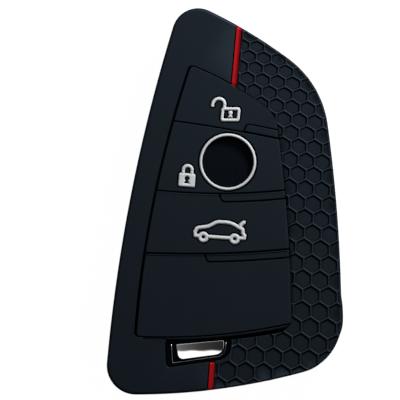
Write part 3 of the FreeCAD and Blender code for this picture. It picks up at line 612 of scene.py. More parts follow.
def add_object(name, data):
    """New object in the scene."""
    made = bpy.data.objects.new(name, data)
    bpy.context.scene.collection.objects.link(made)
    return made


class Builder:
    """Vertices in millimetres, normals, tones of painted light and shade, and faces of one piece; a zero
    normal follows the faces.
    """

    def __init__(self):
        self.verts, self.normals, self.faces, self.tones = [], [], [], []
        self.count = 0

    def add(self, verts, faces, normals=None, tone=0.0):
        verts = np.asarray(verts, float)
        self.verts.append(verts)
        self.tones.append(np.broadcast_to(tone, len(verts)))
        self.normals.append(np.zeros(verts.shape) if normals is None else normals)
        self.faces += [tuple(int(i) + self.count for i in face) for face in faces]
        self.count += len(verts)

    def top(self, plan, faces, height, tone=0.0):
        """Faces over plan points at the height that a function gives; returns their points."""
        place = stack(plan, height(plan))
        self.add(place, faces, unit(stack(-slope(height, plan), 1)), tone)
        return place

    def sheet(self, rows, closed=False, normals=None, tone=0.0):
        """Quads between rows of points, each row an array of the same length."""
        count = len(rows[0])
        faces = []
        for r in range(len(rows) - 1):
            for i in range(count if closed else count - 1):
                j = (i + 1) % count
                faces.append((r * count + i, r * count + j, (r + 1) * count + j, (r + 1) * count + i))
        self.add(np.concatenate(rows), faces, None if normals is None else np.concatenate(normals), tone)

    def hang(self, edges, rings, normals=None, tone=0.0):
        """Walls that hang from edges; each ring has a point for every point of the edges, in order."""
        order = {index: place for place, index in enumerate(edge_points(edges))}
        count = len(order)
        faces = []
        for high in range(0, (len(rings) - 1) * count, count):
            low = high + count
            faces += [(order[b] + high, order[a] + high, order[a] + low, order[b] + low) for a, b in edges]
        self.add(np.concatenate(rings), faces, normals, tone)

    def curtain(self, top, edges, level):
        """Wall in full painted shade that hangs from edges of given points straight down to a level."""
        rim = top[edge_points(edges)]
        foot = rim.copy()
        foot[:, 2] = np.minimum(level, rim[:, 2])
        self.hang(edges, [rim, foot], tone=-1.0)

    def piece(self, name, body, material, slot, *nodes):
        """Object that rides on a body and stands for nodes of the CAD."""
        mesh = bpy.data.meshes.new(name)
        mesh.from_pydata((np.concatenate(self.verts) * MM).tolist(), [], self.faces)
        mesh.validate()
        mesh.polygons.foreach_set("use_smooth", [True] * len(mesh.polygons))
        mesh.normals_split_custom_set_from_vertices(np.concatenate(self.normals).tolist())
        mesh.attributes.new("tone", "FLOAT", "POINT").data.foreach_set("value", np.concatenate(self.tones))
        mesh.materials.append(material)
        piece = add_object(name, mesh)
        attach(piece, body)
        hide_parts(*nodes)
        return piece


# Shader nodes
EFFECT_INPUTS = {
    "First": "Color", "Second": "Color", "Rough Low": "Float", "Rough High": "Float", "Scale": "Float"}
EFFECT_OUTPUTS = {"Colour": "Color", "Roughness": "Float", "Height": "Float"}
NOISE_LOW, NOISE_HIGH, PATCH_SCALE, PATCH_DETAIL = 0.3, 0.7, 90, 3
GRAIN_HEIGHT, COAT_ROUGHNESS = 0.00003, 0.08


def fill_inputs(tree, node, values):
    """Gives each named input of a node its value or its link."""
    for label, value in values.items():
        if isinstance(value, bpy.types.NodeSocket):
            tree.links.new(value, node.inputs[label])
        else:
            node.inputs[label].default_value = value


def add_node(tree, kind, values=None, **settings):
    """New shader node with its settings and inputs."""
    node = tree.nodes.new("ShaderNode" + kind)
    for label, value in settings.items():
        setattr(node, label, value)
    fill_inputs(tree, node, values or {})
    return node


def noise(tree, coords, scale, detail):
    """Cloudy value."""
    return add_node(tree, "TexNoise", {"Vector": coords, "Scale": scale, "Detail": detail}).outputs["Fac"]


def blend_colours(tree, share, first, second):
    """Colour between two."""
    values = {"Factor": share, "A": first, "B": second}
    return add_node(tree, "Mix", values, data_type="RGBA").outputs["Result"]


def remap(tree, value, low, high, to_low=0.0, to_high=1.0):
    """Value carried from one range to another."""
    values = {"Value": value, "From Min": low, "From Max": high, "To Min": to_low, "To Max": to_high}
    return add_node(tree, "MapRange", values).outputs["Result"]


def surface_effect(name, stretch, detail, patches):
    """Node group for two tones and a sheen that change with a fine grain, the tones also in patches."""
    group = bpy.data.node_groups.new(name, "ShaderNodeTree")
    for way, sockets in (("INPUT", EFFECT_INPUTS), ("OUTPUT", EFFECT_OUTPUTS)):
        for label, kind in sockets.items():
            group.interface.new_socket(label, in_out=way, socket_type="NodeSocket" + kind)
    take = group.nodes.new("NodeGroupInput").outputs
    coords = add_node(group, "TexCoord").outputs["Object"]
    coords = add_node(group, "Mapping", {"Vector": coords, "Scale": stretch}).outputs["Vector"]
    fine = noise(group, coords, take["Scale"], detail)
    tone = noise(group, coords, PATCH_SCALE, PATCH_DETAIL) if patches else fine
    share = remap(group, tone, NOISE_LOW, NOISE_HIGH)
    fill_inputs(group, group.nodes.new("NodeGroupOutput"), {
        "Colour": blend_colours(group, share, take["First"], take["Second"]),
        "Roughness": remap(group, fine, NOISE_LOW, NOISE_HIGH, take["Rough Low"], take["Rough High"]),
        "Height": fine,
    })
    return group


# Moulded surfaces have a grain, drawn metal has fine lines along X
GRAIN = surface_effect("moulded_grain", stretch=(1, 1, 1), detail=2, patches=True)
BRUSHED = surface_effect("drawn_metal", stretch=(0.05, 1, 1), detail=3, patches=False)


def finish_material(name, group, first, second, rough, scale, bump=0.1, metallic=0.0, specular=0.5, coat=0.0,
                    tint=(1, 1, 1)):
    """Material whose colour, roughness and grain come from a node group."""
    material = bpy.data.materials.new(name)
    material.use_nodes = True
    tree = material.node_tree
    surface = add_node(tree, "Group", {
        "First": (*first, 1), "Second": (*second, 1),
        "Rough Low": rough[0], "Rough High": rough[1], "Scale": scale,
    }, node_tree=group).outputs
    grain = add_node(tree, "Bump", {"Strength": bump, "Distance": GRAIN_HEIGHT, "Height": surface["Height"]})
    fill_inputs(tree, tree.nodes["Principled BSDF"], {
        "Base Color": surface["Colour"], "Roughness": surface["Roughness"], "Normal": grain.outputs["Normal"],
        "Metallic": metallic, "Specular IOR Level": specular, "Specular Tint": (*tint, 1),
        "Coat Weight": coat, "Coat Roughness": COAT_ROUGHNESS,
    })
    return material


def tone_colours(material, painted_shade_colour, painted_light_colour):
    """Turns the colour toward painted shade in hollows or painted highlight on raised edges where the tone of
    the mesh says so; Metallic follows the painted shade, which dims the sheen in it too.
    """
    tree = material.node_tree
    shader = tree.nodes["Principled BSDF"]
    tone = add_node(tree, "Attribute", attribute_name="tone").outputs["Fac"]
    colour = shader.inputs["Base Color"].links[0].from_socket
    # The first end colour is a painted highlight, the second a painted shade.
    for end_colour, full in ((painted_light_colour, 1.0), (painted_shade_colour, -1.0)):
        share = remap(tree, tone, 0.0, full)
        colour = blend_colours(tree, share, colour, (*end_colour, 1))
    fill_inputs(tree, shader, {"Base Color": colour, "Metallic": share})


SILICONE = finish_material(
    "soft_black_silicone", GRAIN, (0.0018, 0.0030, 0.0044), (0.0023, 0.0037, 0.0053), (0.52, 0.6), 5000,
    bump=0.2, specular=0.19, tint=(0.54, 0.75, 1.0))
# Painted highlights along rib tops and panel edges, painted shade in grooves, hollows, the recess and the
# walls of openings.
tone_colours(SILICONE, (0.0003, 0.0005, 0.0008), (0.015, 0.021, 0.028))
RED = finish_material(
    "red_silicone", GRAIN, (0.285, 0.005, 0.007), (0.345, 0.006, 0.009), (0.45, 0.55), 5000,
    bump=0.2, specular=0.06, tint=(1.0, 0.5, 0.5))
# Painted shade darkens the red stripes toward a dark red.
tone_colours(RED, (0.03, 0.0004, 0.0006), (0.34, 0.004, 0.006))
WHITE = finish_material(
    "white_print", GRAIN, (0.44, 0.455, 0.465), (0.485, 0.50, 0.51), (0.45, 0.55), 5000,
    bump=0.15, specular=0.2)
FOB_BLACK = finish_material(
    "black_moulding", GRAIN, (0.001, 0.0014, 0.002), (0.0015, 0.002, 0.0028), (0.4, 0.5), 2500, bump=0.4,
    specular=0.08, tint=(0.64, 0.8, 1.0))
KEY_BLACK = finish_material(
    "key_black", GRAIN, (0.0012, 0.0018, 0.003), (0.0016, 0.0024, 0.004), (0.4, 0.5), 3000, bump=0.3,
    specular=0.08, tint=(0.6, 0.75, 1.0))
GLOSS_BLACK = finish_material(
    "gloss_black", GRAIN, (0.0008, 0.0012, 0.002), (0.0012, 0.0018, 0.003), (0.12, 0.2), 2500, bump=0.02,
    specular=0.12, tint=(0.6, 0.75, 1.0))
DISC_BLACK = finish_material(
    "disc_black", GRAIN, (0.0008, 0.0013, 0.0024), (0.0012, 0.0018, 0.0032), (0.35, 0.45), 2500, bump=0.02,
    specular=0.1, tint=(0.55, 0.75, 1.0))
CHROME = finish_material(
    "bright_chrome", BRUSHED, (0.84, 0.84, 0.85), (0.92, 0.92, 0.92), (0.05, 0.09), 3000,
    bump=0.01, metallic=1.0)
# Chrome darker than the bright chrome, which paints shade on the rim bead.
SHADED_CHROME = finish_material(
    "shaded_chrome", BRUSHED, (0.28, 0.28, 0.29), (0.34, 0.34, 0.35), (0.25, 0.32), 3000,
    bump=0.01, metallic=1.0)
SEAL_GREY = finish_material(
    "seal_grey", GRAIN, (0.10, 0.10, 0.11), (0.13, 0.13, 0.14), (0.6, 0.7), 3000)
BOARD_GREEN = finish_material(
    "board_green", GRAIN, (0.012, 0.09, 0.03), (0.018, 0.12, 0.04), (0.3, 0.4), 1500, coat=0.4)
PART_BLACK = finish_material(
    "part_black", GRAIN, (0.012, 0.012, 0.012), (0.02, 0.02, 0.02), (0.5, 0.6), 3000)
PLUNGER_WHITE = finish_material(
    "plunger_white", GRAIN, (0.62, 0.62, 0.58), (0.7, 0.7, 0.66), (0.4, 0.5), 3000)
STEEL = finish_material(
    "drawn_steel", BRUSHED, (0.5, 0.5, 0.5), (0.62, 0.62, 0.62), (0.2, 0.32), 3500, bump=0.1, metallic=1.0)


# Cover shell
BORDER_LIGHT, BORDER_LIGHT_BAND = 0.2, (0.3, 0.12, 0.58, 0.15)
BORDER_SHADE, BORDER_SHADE_BAND, BORDER_SHADE_ENDS = 0.45, (-0.55, 0.2, 0.2, 0.15), (-30, 2, 16, 4)
BORDER_GAPS = (0.36, 0.42, 0.5, 0.58, 0.66, 0.73)
LEDGE_SHADES, LEDGE_BAND = {"first": 0, "second": 0.3, "third": 0.8}, (0.36, 0.06, 0.66, 0.07)
FIELD_OUT, FIELD_WALL, FIELD_FOOT, FIELD_SIDE = 0.05, 0.08, 0.1, 0.2
FIELD_RIGHT_SHARE, FIELD_RIGHT_REACH = 0.12, 0.6
WINDOW_EDGE, WINDOW_SINK = 0.3, 0.2
SLOPE_GROOVE, SLOPE_WALL, SLOPE_DEPTH, SLOPE_END = 0.12, 0.1, 0.7, 24
BED_EDGE, BED_WALL, BED_DEPTH, BED_LENGTH, STRIPE_EASE = 0.1, 0.2, 0.45, 22, 0.6
SHADE_START, SHADE_RUN = 0.04, 0.15


def stripe_local(name, p):
    """Points as a stripe has them: along it from its start, and to its left as the imaginary part."""
    return (p - STRIPES[name][0]) / stripe_direction(name)


def stripe_point(name, local):
    """Plan points from a stripe's own."""
    return STRIPES[name][0] + local * stripe_direction(name)


def stripe_gap(name, p):
    """Distance outside the bed of a stripe, which runs on past the outline."""
    local = stripe_local(name, p)
    before = np.maximum(-local.real, 0)
    beside = abs(local.imag) - STRIPE_WIDTH / 2
    return np.where(beside > 0, np.hypot(np.maximum(beside, 0), before), np.maximum(beside, -local.real))


def left_of_upper(p):
    """Soft step from 0 at the middle of the upper stripe to 1 on its left."""
    return smooth(stripe_local("upper", p).imag / STRIPE_EASE)


def border_light(p):
    """Fine light line along the right edge of the panel."""
    return BORDER_LIGHT * band(inside_right(p), *BORDER_LIGHT_BAND)


def border_shade(p):
    """Soft shade beside the right edge of the panel."""
    return BORDER_SHADE * band(p.imag, *BORDER_SHADE_ENDS) * band(inside_right(p), *BORDER_SHADE_BAND)


def ledge_shade(name, p):
    """Faint second line of painted shade a little below a separator."""
    return LEDGE_SHADES[name] * band(-above(name, p), *LEDGE_BAND)


def comb_share(p):
    """1 where the honeycomb shows, 0 in the raised field and the recess."""
    field = pad_depth("third", None, p)
    return (1 - smooth((field + FIELD_OUT) / FIELD_OUT)) * (1 - smooth(recess_depth(p) / RECESS_WALL))


def slope_groove(p):
    """Depth of the groove along the slope of the panel, on the left of the upper stripe."""
    beside = smooth((pad_depth(None, "third", p) + SLOPE_GROOVE) / SLOPE_WALL)
    return SLOPE_DEPTH * beside * left_of_upper(p) * (p.imag > SLOPE_END)


def stripe_bed(name, p):
    """Depth of the bed of a stripe."""
    return BED_DEPTH * (1 - smooth((stripe_gap(name, p) - BED_EDGE) / BED_WALL)) * edge_fade(p)


def plain_relief(p):
    """Height of the raised field with its groove and bar, the recess, and the edges of openings."""
    field = pad_depth("third", None, p)
    right = smooth((inside_right(p) - FIELD_RIGHT_REACH) / FIELD_RIGHT_REACH)
    groove = smooth((pad_depth("third", None, p, OPENING) + FIELD_OUT) / FIELD_WALL)
    groove = GROOVE_DEPTH * groove * (FIELD_RIGHT_SHARE + (1 - FIELD_RIGHT_SHARE) * right)
    recess = RECESS_DEPTH * smooth(recess_depth(p) / RECESS_WALL)
    relief = recess_scoop(p) - np.maximum(groove, recess)
    relief = relief + (groove + PAD_TOP - FACE) * smooth((field - FIELD_FOOT) / FIELD_SIDE)
    relief = relief + np.where(field > 0, bar_relief("third", p), 0)
    relief = relief - WINDOW_SINK * smooth((WINDOW.depth(p) + WINDOW_EDGE) / WINDOW_EDGE)
    return relief - slope_groove(p) - stripe_bed("upper", p) - stripe_bed("lower", p)


def front_relief(p):
    """Height above the smooth front."""
    return comb_relief(p) * comb_share(p) + plain_relief(p)


def hollow(depth):
    """Share of shade in a groove of some depth."""
    return smooth((depth - SHADE_START) / SHADE_RUN)


def front_tone(p):
    """Light and shade of the front."""
    light = (border_light(p) - ledge_shade("third", p)) * (pad_depth("third", None, p) > 0) - border_shade(p)
    return comb_tone(p) * comb_share(p) * edge_fade(p) + light - hollow(-plain_relief(p))


def front_base(p):
    """Smooth front with its round edge: height, steepness of the edge and direction outward."""
    rise = np.clip(OUTER.depth(p), 0, FRONT_EDGE)
    lean = (FRONT_EDGE - rise) / FRONT_EDGE
    return FACE - FRONT_EDGE + FRONT_EDGE * np.sqrt(1 - lean ** 2), lean, OUTER.outward(p)


def front_points(p):
    """Points and normals of the front."""
    base, lean, away = front_base(p)
    flat = np.sqrt(1 - lean ** 2)
    relief = front_relief(p)
    grade = slope(front_relief, p)
    grade_out = (grade * np.conj(away)).real * flat
    grade_side = (grade * np.conj(1j * away)).real
    place = stack(p + away * lean * relief, base + flat * relief)
    normal = stack(away * lean, flat) - stack(away * flat, -lean) * grade_out[:, None]
    normal = normal - stack(1j * away, 0) * grade_side[:, None]
    return place, unit(normal), relief


# Places of the support loops of the front
OUTLINE_STEP, WINDOW_STEP = 1.2, 0.6
SLOPE_GAPS = (-SLOPE_GROOVE - 0.1, -SLOPE_GROOVE, 0.05 - SLOPE_GROOVE, 0.1 - SLOPE_GROOVE, 0)
FIELD_GROOVE_GAPS = (-0.2, -0.05, -0.03, -0.01, 0.01, 0.03)
FIELD_GAPS = (-0.55, -0.35, -0.05, 0, 0.05, 0.1, 0.13, 0.17, 0.2, 0.24, 0.3, *BORDER_GAPS)
RECESS_WALL_SHARES, RECESS_LINE_SHARES = (-0.8, 0, 0.25, 0.5, 0.75, 1), (0.25, 0.5, 0.75, 1)
SCOOP_SHARES = ((0.26, 0.33), (0.4, 0.47), (0.55, 0.7))
WINDOW_INSETS, BED_GROWS = (-0.3, -0.2, -0.1, 0), (0.0, 0.1, 0.2, 0.3)


def stripe_bed_loops(name):
    """Loops round the bed of a stripe."""
    along = np.linspace(0, 1, 26)
    loops = []
    for grow in BED_GROWS:
        half = STRIPE_WIDTH / 2 + grow
        right = complex(-grow, -half) + along * (BED_LENGTH + grow)
        left = complex(BED_LENGTH, half) - along * (BED_LENGTH + grow)
        loops.append(stripe_point(name, np.concatenate([right, left])))
    return loops


def front_loops():
    """Loops along everything on the front that needs points."""
    insets = [FRONT_EDGE * (1 - out) for out, _ in quarter_turn(10)]
    loops = [cover_shape(inset).loop(OUTLINE_STEP) for inset in insets]
    loops += [pad_loop(None, "third", gap, LEFT_GROOVE) for gap in SLOPE_GAPS]
    loops += [pad_loop("third", None, gap, LEFT_GROOVE) for gap in FIELD_GROOVE_GAPS]
    loops += [pad_loop("third", None, gap) for gap in FIELD_GAPS]
    loops += [bar_loop("third", inset) for inset in BAR_INSETS]
    loops += [recess_loop(share * RECESS_WALL) for share in RECESS_WALL_SHARES]
    loops += [recess_loop(RECESS_WALL + share * RECESS_LINE) for share in RECESS_LINE_SHARES]
    loops += [scoop_loop(*shares) for shares in SCOOP_SHARES]
    loops += [window_shape(inset).loop(WINDOW_STEP) for inset in WINDOW_INSETS]
    for name in STRIPES:
        loops += stripe_bed_loops(name)
    return loops + comb_loops()


NUB, NUB_LEVEL, NUB_HEIGHT, NUB_WIDTH, NUB_RISE, NUB_EDGE = 29.65 - 28.6j, 7.5, 5.0, 5.4, 0.45, 0.8
LIP_EDGE, RIB_FADE = 0.3, 2.5
OPENINGS_FROM, OUTLINE_TO = 1, 0.2


def side_profile():
    """Inset, height and slope of the side wall from the front edge to the lip behind, sampled."""
    rows = [(0, z, 1, 0) for z in np.linspace(FACE - FRONT_EDGE, REAR_EDGE, 24)]
    for out, down in quarter_turn(15)[1:]:
        rows.append((REAR_EDGE * (1 - out), REAR_EDGE * (1 - down), out, -down))
    rows.append((LIP_INSET - LIP_EDGE, 0, 0, -1))
    for down, inward in quarter_turn(30)[1:]:
        rows.append((LIP_INSET - LIP_EDGE * (1 - inward), LIP_EDGE * (1 - down), -inward, -down))
    rows.append((LIP_INSET, LIP, -1, 0))
    return rows


def hang_side(cover, edges, plan, relief):
    """Side wall with the nub, down which the ribs of the grip fade."""
    used = edge_points(edges)
    rim, sunk = plan[used], relief[used]
    away = OUTER.outward(rim)
    along_nub = np.clip(1 - (abs(rim - NUB) / NUB_WIDTH) ** 2, 0, 1)
    rings, normals = [], []
    for inset, z, out, up in side_profile():
        fade = max(1 - (FACE - FRONT_EDGE - z) / RIB_FADE, 0)
        nub = NUB_RISE * along_nub * smooth((NUB_HEIGHT / 2 - abs(z - NUB_LEVEL)) / NUB_EDGE + 0.5)
        rings.append(stack(rim + away * (sunk * fade + nub - inset), z))
        normals.append(np.zeros((len(rim), 3)) if inset == 0 else stack(away * out, up))
    cover.hang(edges, rings, np.concatenate(normals))


def make_cover():
    """Front with its openings, the walls of the openings and the side."""
    plan, faces = triangulate(front_loops())
    middle = plan[faces].mean(axis=1)
    hidden = (OUTER.depth(middle) < 0) | (WINDOW.depth(middle) > 0)
    hidden = hidden | (pad_depth(None, "third", middle, OPENING) > 0)
    plan, faces = keep_used(plan, faces[~hidden])
    place, normal, relief = front_points(plan)
    cover = Builder()
    cover.add(place, faces, normal, front_tone(plan))
    depths = [(edge, OUTER.depth(plan[list(edge)]).max()) for edge in rim_edges(faces)]
    cover.curtain(place, [edge for edge, depth in depths if depth > OPENINGS_FROM], FOB_FACE)
    hang_side(cover, [edge for edge, depth in depths if depth < OUTLINE_TO], plan, relief)
    cover.piece("soft_cover", "covered_remote", SILICONE, "cover_black", "cover_shell")


# Press pads
MOAT_WIDTH, MOAT_DEPTH, MOAT_WALL, MOAT_MARGIN, MOAT_STEP, MOAT_INSIDE = 0.4, 0.5, 0.15, 0.25, 0.09, 0.1
RING_GROOVE, RING_GROOVE_DEPTH = (-0.2, 0.15, 0.2, 0.3), 0.35
RING_REACHES = (-0.2, -0.12, -0.05, 0.2, 0.28, 0.35, 0.42, 0.5, 0.6)
HOLE_SIDES, HOLE_INSIDE, HOLE_NEAR = 120, 0.005, 0.1
FLUSH_START, FLUSH_RUN = 17.5, 2


def pad_relief(bar, icon, p):
    """Moat round the icon of a pad and its bar, or the groove round the ring."""
    moat = MOAT_DEPTH * smooth((icon(p) + MOAT_WIDTH) / MOAT_WALL)
    if bar:
        return bar_relief(bar, p) - moat
    return -RING_GROOVE_DEPTH * band(abs(p - RING) - HOLE_RADIUS - RING_WIDTH, *RING_GROOVE) - moat


def pad_height(upper, lower, bar, icon, p):
    """Top of a pad with a round edge, which is left out on the right of the upper stripe."""
    rise = np.clip(pad_depth(upper, lower, p) - SLIT, 0, PAD_EDGE)
    drop = PAD_EDGE - np.sqrt(PAD_EDGE ** 2 - (PAD_EDGE - rise) ** 2)
    right = smooth(-stripe_local("upper", p).imag / STRIPE_EASE)
    flush = right * smooth((p.imag - FLUSH_START) / FLUSH_RUN)
    return PAD_TOP - drop * (1 - flush) + pad_relief(bar, icon, p)


def icon_surroundings(icon, low, high):
    """Fine points along the edge of an icon and over its moat."""
    margin = MOAT_WIDTH + MOAT_MARGIN
    plan, _ = grid(low - margin * (1 + 1j), high + margin * (1 + 1j), MOAT_STEP, MOAT_STEP)
    inside = icon(plan)
    return plan[(inside > -margin) & (inside < MOAT_INSIDE)]


def make_pad(name, upper, lower, bar):
    """Top of a pad and its walls; the pad that has no bar has the finger hole."""
    icon, low, high = ICONS[name]
    gaps = [SLIT + PAD_EDGE * (1 - out) for out, _ in quarter_turn(15)]
    loops = [pad_loop(upper, lower, gap) for gap in (*gaps, *BORDER_GAPS)]
    if bar:
        loops += [bar_loop(bar, inset) for inset in BAR_INSETS]
    else:
        outer = HOLE_RADIUS + RING_WIDTH
        loops += [RING + (outer + reach) * circle(HOLE_SIDES) for reach in RING_REACHES]
        loops.append(RING + HOLE_RADIUS * circle(HOLE_SIDES))
    plan, faces = triangulate(loops, icon_surroundings(icon, low, high))
    middle = plan[faces].mean(axis=1)
    hidden = pad_depth(upper, lower, middle) < SLIT
    if not bar:
        hidden = hidden | (abs(middle - RING) < HOLE_RADIUS - HOLE_INSIDE)
    plan, faces = keep_used(plan, faces[~hidden])

    def height(p):
        return pad_height(upper, lower, bar, icon, p)

    # Painted light along the panel's right edge, painted shade in the moat, in the groove round the bar and
    # the ring, and in the line below the separator.
    tone = border_light(plan) - hollow(-pad_relief(bar, icon, plan))
    if upper:
        tone = tone - ledge_shade(upper, plan)
    pad = Builder()
    place = pad.top(plan, faces, height, tone)
    edges = rim_edges(faces)
    hole = [edge for edge in edges if not bar and abs(plan[edge[0]] - RING) < HOLE_RADIUS + HOLE_NEAR]
    pad.curtain(place, [edge for edge in edges if edge not in hole], PAD_BOTTOM)
    if hole:
        pad.curtain(place, hole, FOB_FACE)
    pad.piece("soft_" + name + "_pad", name + "_button", SILICONE, "cover_black", name + "_pad")


RING_SIDES, RING_FOOT = 144, -0.4


def make_ring():
    """White ring with a round top."""
    turn = circle(RING_SIDES)
    half = RING_WIDTH / 2
    ring = Builder()
    rows, normals = [], []
    for angle in np.radians(np.linspace(-20, 200, 23)):
        radius = HOLE_RADIUS + half + half * math.cos(angle)
        z = PAD_TOP + RING_RISE * max(math.sin(angle), RING_FOOT)
        rows.append(stack(RING + radius * turn, z))
        normals.append(unit(stack(turn * math.cos(angle) / half, math.sin(angle) / RING_RISE)))
    ring.sheet(rows, closed=True, normals=normals)
    ring.piece("white_finger_ring", "lock_button", WHITE, "icon_white", "lock_ring")


# Raised icons, each drawn as a distance inside its strokes
LOCK_MIDDLE, LOCK_SINK, LOCK_KEYHOLE, UNLOCK_MIDDLE = -9.69 + 5.34j, 0.08, 1.05, 1.22 + 21.76j
ICON_RISE, ICON_SINK, ICON_STROKE, ICON_STEP, ICON_EDGE, ICON_LEAN = 0.3, 0.12, 0.8, 0.05, 0.4, 0.09
LEG_CORNER = 0.05
KEYHOLE_LIFT, KEYHOLE_FOOT, KEYHOLE_HEAD, KEYHOLE_STEM, KEYHOLE_SPREAD = 0.36, 0.78, 0.54, 0.1, 0.44


def lean_back(p, middle):
    """Points moved so that an icon drawn upright leans a little to the right."""
    return p - ICON_LEAN * (p - middle).imag


def box_depth(p, middle, wide, high, corner):
    """Distance inside a box with round corners."""
    local = p - middle
    x, y = abs(local.real) - wide / 2 + corner, abs(local.imag) - high / 2 + corner
    return corner - np.hypot(np.maximum(x, 0), np.maximum(y, 0)) - np.minimum(np.maximum(x, y), 0)


def line_depth(p, start, end, half):
    """Distance inside a stroke with round ends."""
    along = np.clip(((p - start) * np.conj(end - start)).real / abs(end - start) ** 2, 0, 1)
    return half - abs(p - start - along * (end - start))


def arch_depth(p, middle, radius, half, left_leg, right_leg):
    """Shackle: half a ring with two straight legs."""
    ring = np.where(p.imag > middle.imag, half - abs(abs(p - middle) - radius), -1)
    left = box_depth(p, middle + complex(-radius, -left_leg / 2), 2 * half, left_leg, LEG_CORNER)
    right = box_depth(p, middle + complex(radius, -right_leg / 2), 2 * half, right_leg, LEG_CORNER)
    return np.max([ring, left, right], axis=0)


def keyhole_depth(p, middle, share):
    """Round head over a stem that widens downward."""
    lift, foot = KEYHOLE_LIFT * share, KEYHOLE_FOOT * share
    local = p - middle
    head = KEYHOLE_HEAD * share - abs(local - 1j * lift)
    side = KEYHOLE_STEM * share + (lift - local.imag) * KEYHOLE_SPREAD - abs(local.real)
    return np.maximum(head, np.min([side, lift - local.imag, local.imag + foot], axis=0))


def lock_depth(p):
    """Closed padlock, its keyhole cut out."""
    middle = LOCK_MIDDLE
    p = lean_back(p, middle) + 1j * LOCK_SINK * (p - middle).real
    body = box_depth(p, middle, wide=4.2, high=3.4, corner=0.5)
    arch = arch_depth(p, middle + 2.5j, radius=1.1, half=ICON_STROKE / 2, left_leg=1.0, right_leg=1.0)
    return np.minimum(np.maximum(body, arch), -keyhole_depth(p, middle, LOCK_KEYHOLE))


def unlock_depth(p):
    """Open padlock, drawn as an outline round its keyhole."""
    middle = UNLOCK_MIDDLE
    p = lean_back(p, middle)
    body = box_depth(p, middle, wide=4.8, high=3.56, corner=0.7)
    well = box_depth(p, middle, wide=3.3, high=2.05, corner=0.2)
    shackle, tip = middle + complex(-3.18, 2.44), middle + complex(-4.68, 2.2)
    arch = arch_depth(p, shackle, radius=1.5, half=ICON_STROKE / 2, left_leg=0.25, right_leg=1.2)
    tip = ICON_STROKE / 2 - abs(p - tip)
    return np.max([np.minimum(body, -well), arch, tip, keyhole_depth(p, middle, 1)], axis=0)


CAR_POINTS = [
    (-0.49, -0.10), (-0.495, -0.025), (-0.462, 0.038), (-0.41, 0.064), (-0.225, 0.087), (-0.16, 0.116),
    (-0.065, 0.165), (0.0, 0.179), (0.14, 0.173), (0.245, 0.153), (0.335, 0.11), (0.437, 0.045),
    (0.487, 0.026), (0.487, -0.05), (0.524, -0.107), (0.515, -0.157), (0.32, -0.16), (-0.32, -0.114),
]
LID_POINTS = [(0.437, 0.045), (0.445, 0.115), (0.51, 0.168)]
CAR_MIDDLE, CAR_LENGTH, CAR_STROKE, WHEEL_RADIUS, HUB_RADIUS = -1.63 - 7.3j, 12.2, 0.88, 1.33, 0.42
WHEEL_POINTS = [(-0.322, -0.132), (0.32, -0.171)]


def trunk_depth(p):
    """Car seen from the side with its lid open."""
    body, lid, wheels = [[CAR_MIDDLE + complex(*place) * CAR_LENGTH for place in places]
                         for places in (CAR_POINTS, LID_POINTS, WHEEL_POINTS)]
    ends = zip(body + lid, body[1:] + body[:1] + lid[1:])
    strokes = [line_depth(p, start, end, CAR_STROKE / 2) for start, end in ends]
    inside = np.max(strokes + [WHEEL_RADIUS - abs(p - wheel) for wheel in wheels], axis=0)
    for wheel in wheels:
        inside = np.minimum(inside, abs(p - wheel) - HUB_RADIUS)
    return inside


ICONS = {
    "lock": (lock_depth, -12.2 + 3.2j, -7.0 + 9.9j),
    "unlock": (unlock_depth, -4.2 + 19.6j, 4.4 + 26.6j),
    "trunk": (trunk_depth, -8.6 - 11.2j, 5.4 - 4.2j),
}


def make_icon(name):
    """Relief patch over a fine grid that keeps only the strokes."""
    depth, low, high = ICONS[name]
    plan, wide = grid(low, high, ICON_STEP, ICON_STEP)

    def height(p):
        share = np.clip(depth(p) / ICON_EDGE, 0, 1)
        return PAD_TOP - ICON_SINK + (ICON_RISE + ICON_SINK) * np.sqrt(1 - (1 - share) ** 2)

    start = np.arange(len(plan)).reshape(-1, wide)[:-1, :-1].ravel()
    faces = np.column_stack([start, start + 1, start + 1 + wide, start + wide])
    faces = faces[(depth(plan)[faces] > 0).any(axis=1)]
    plan, faces = keep_used(plan, faces)
    icon = Builder()
    icon.top(plan, faces, height)
    icon.piece("white_" + name + "_icon", name + "_button", WHITE, "icon_white", name + "_icon")


# Red stripes that run over the front edge
STRIPE_SIDE, STRIPE_START, STRIPE_MOST, STRIPE_LEAN = 0.4, 0.3, 30.0, 0.1
STRIPE_DROPS, LIGHT_FROM, LIGHT_RUN = (0.8, 1.6, 2.4), 0.3, 0.7


def stripe_reach(name, across):
    """Lengths of a stripe from its start to the outline, by halving."""
    low, high = np.zeros(len(across)), np.full(len(across), STRIPE_MOST)
    for _ in range(40):
        middle = (low + high) / 2
        inside = OUTER.depth(stripe_point(name, middle + 1j * across)) > 0
        low, high = np.where(inside, middle, low), np.where(inside, high, middle)
    return low


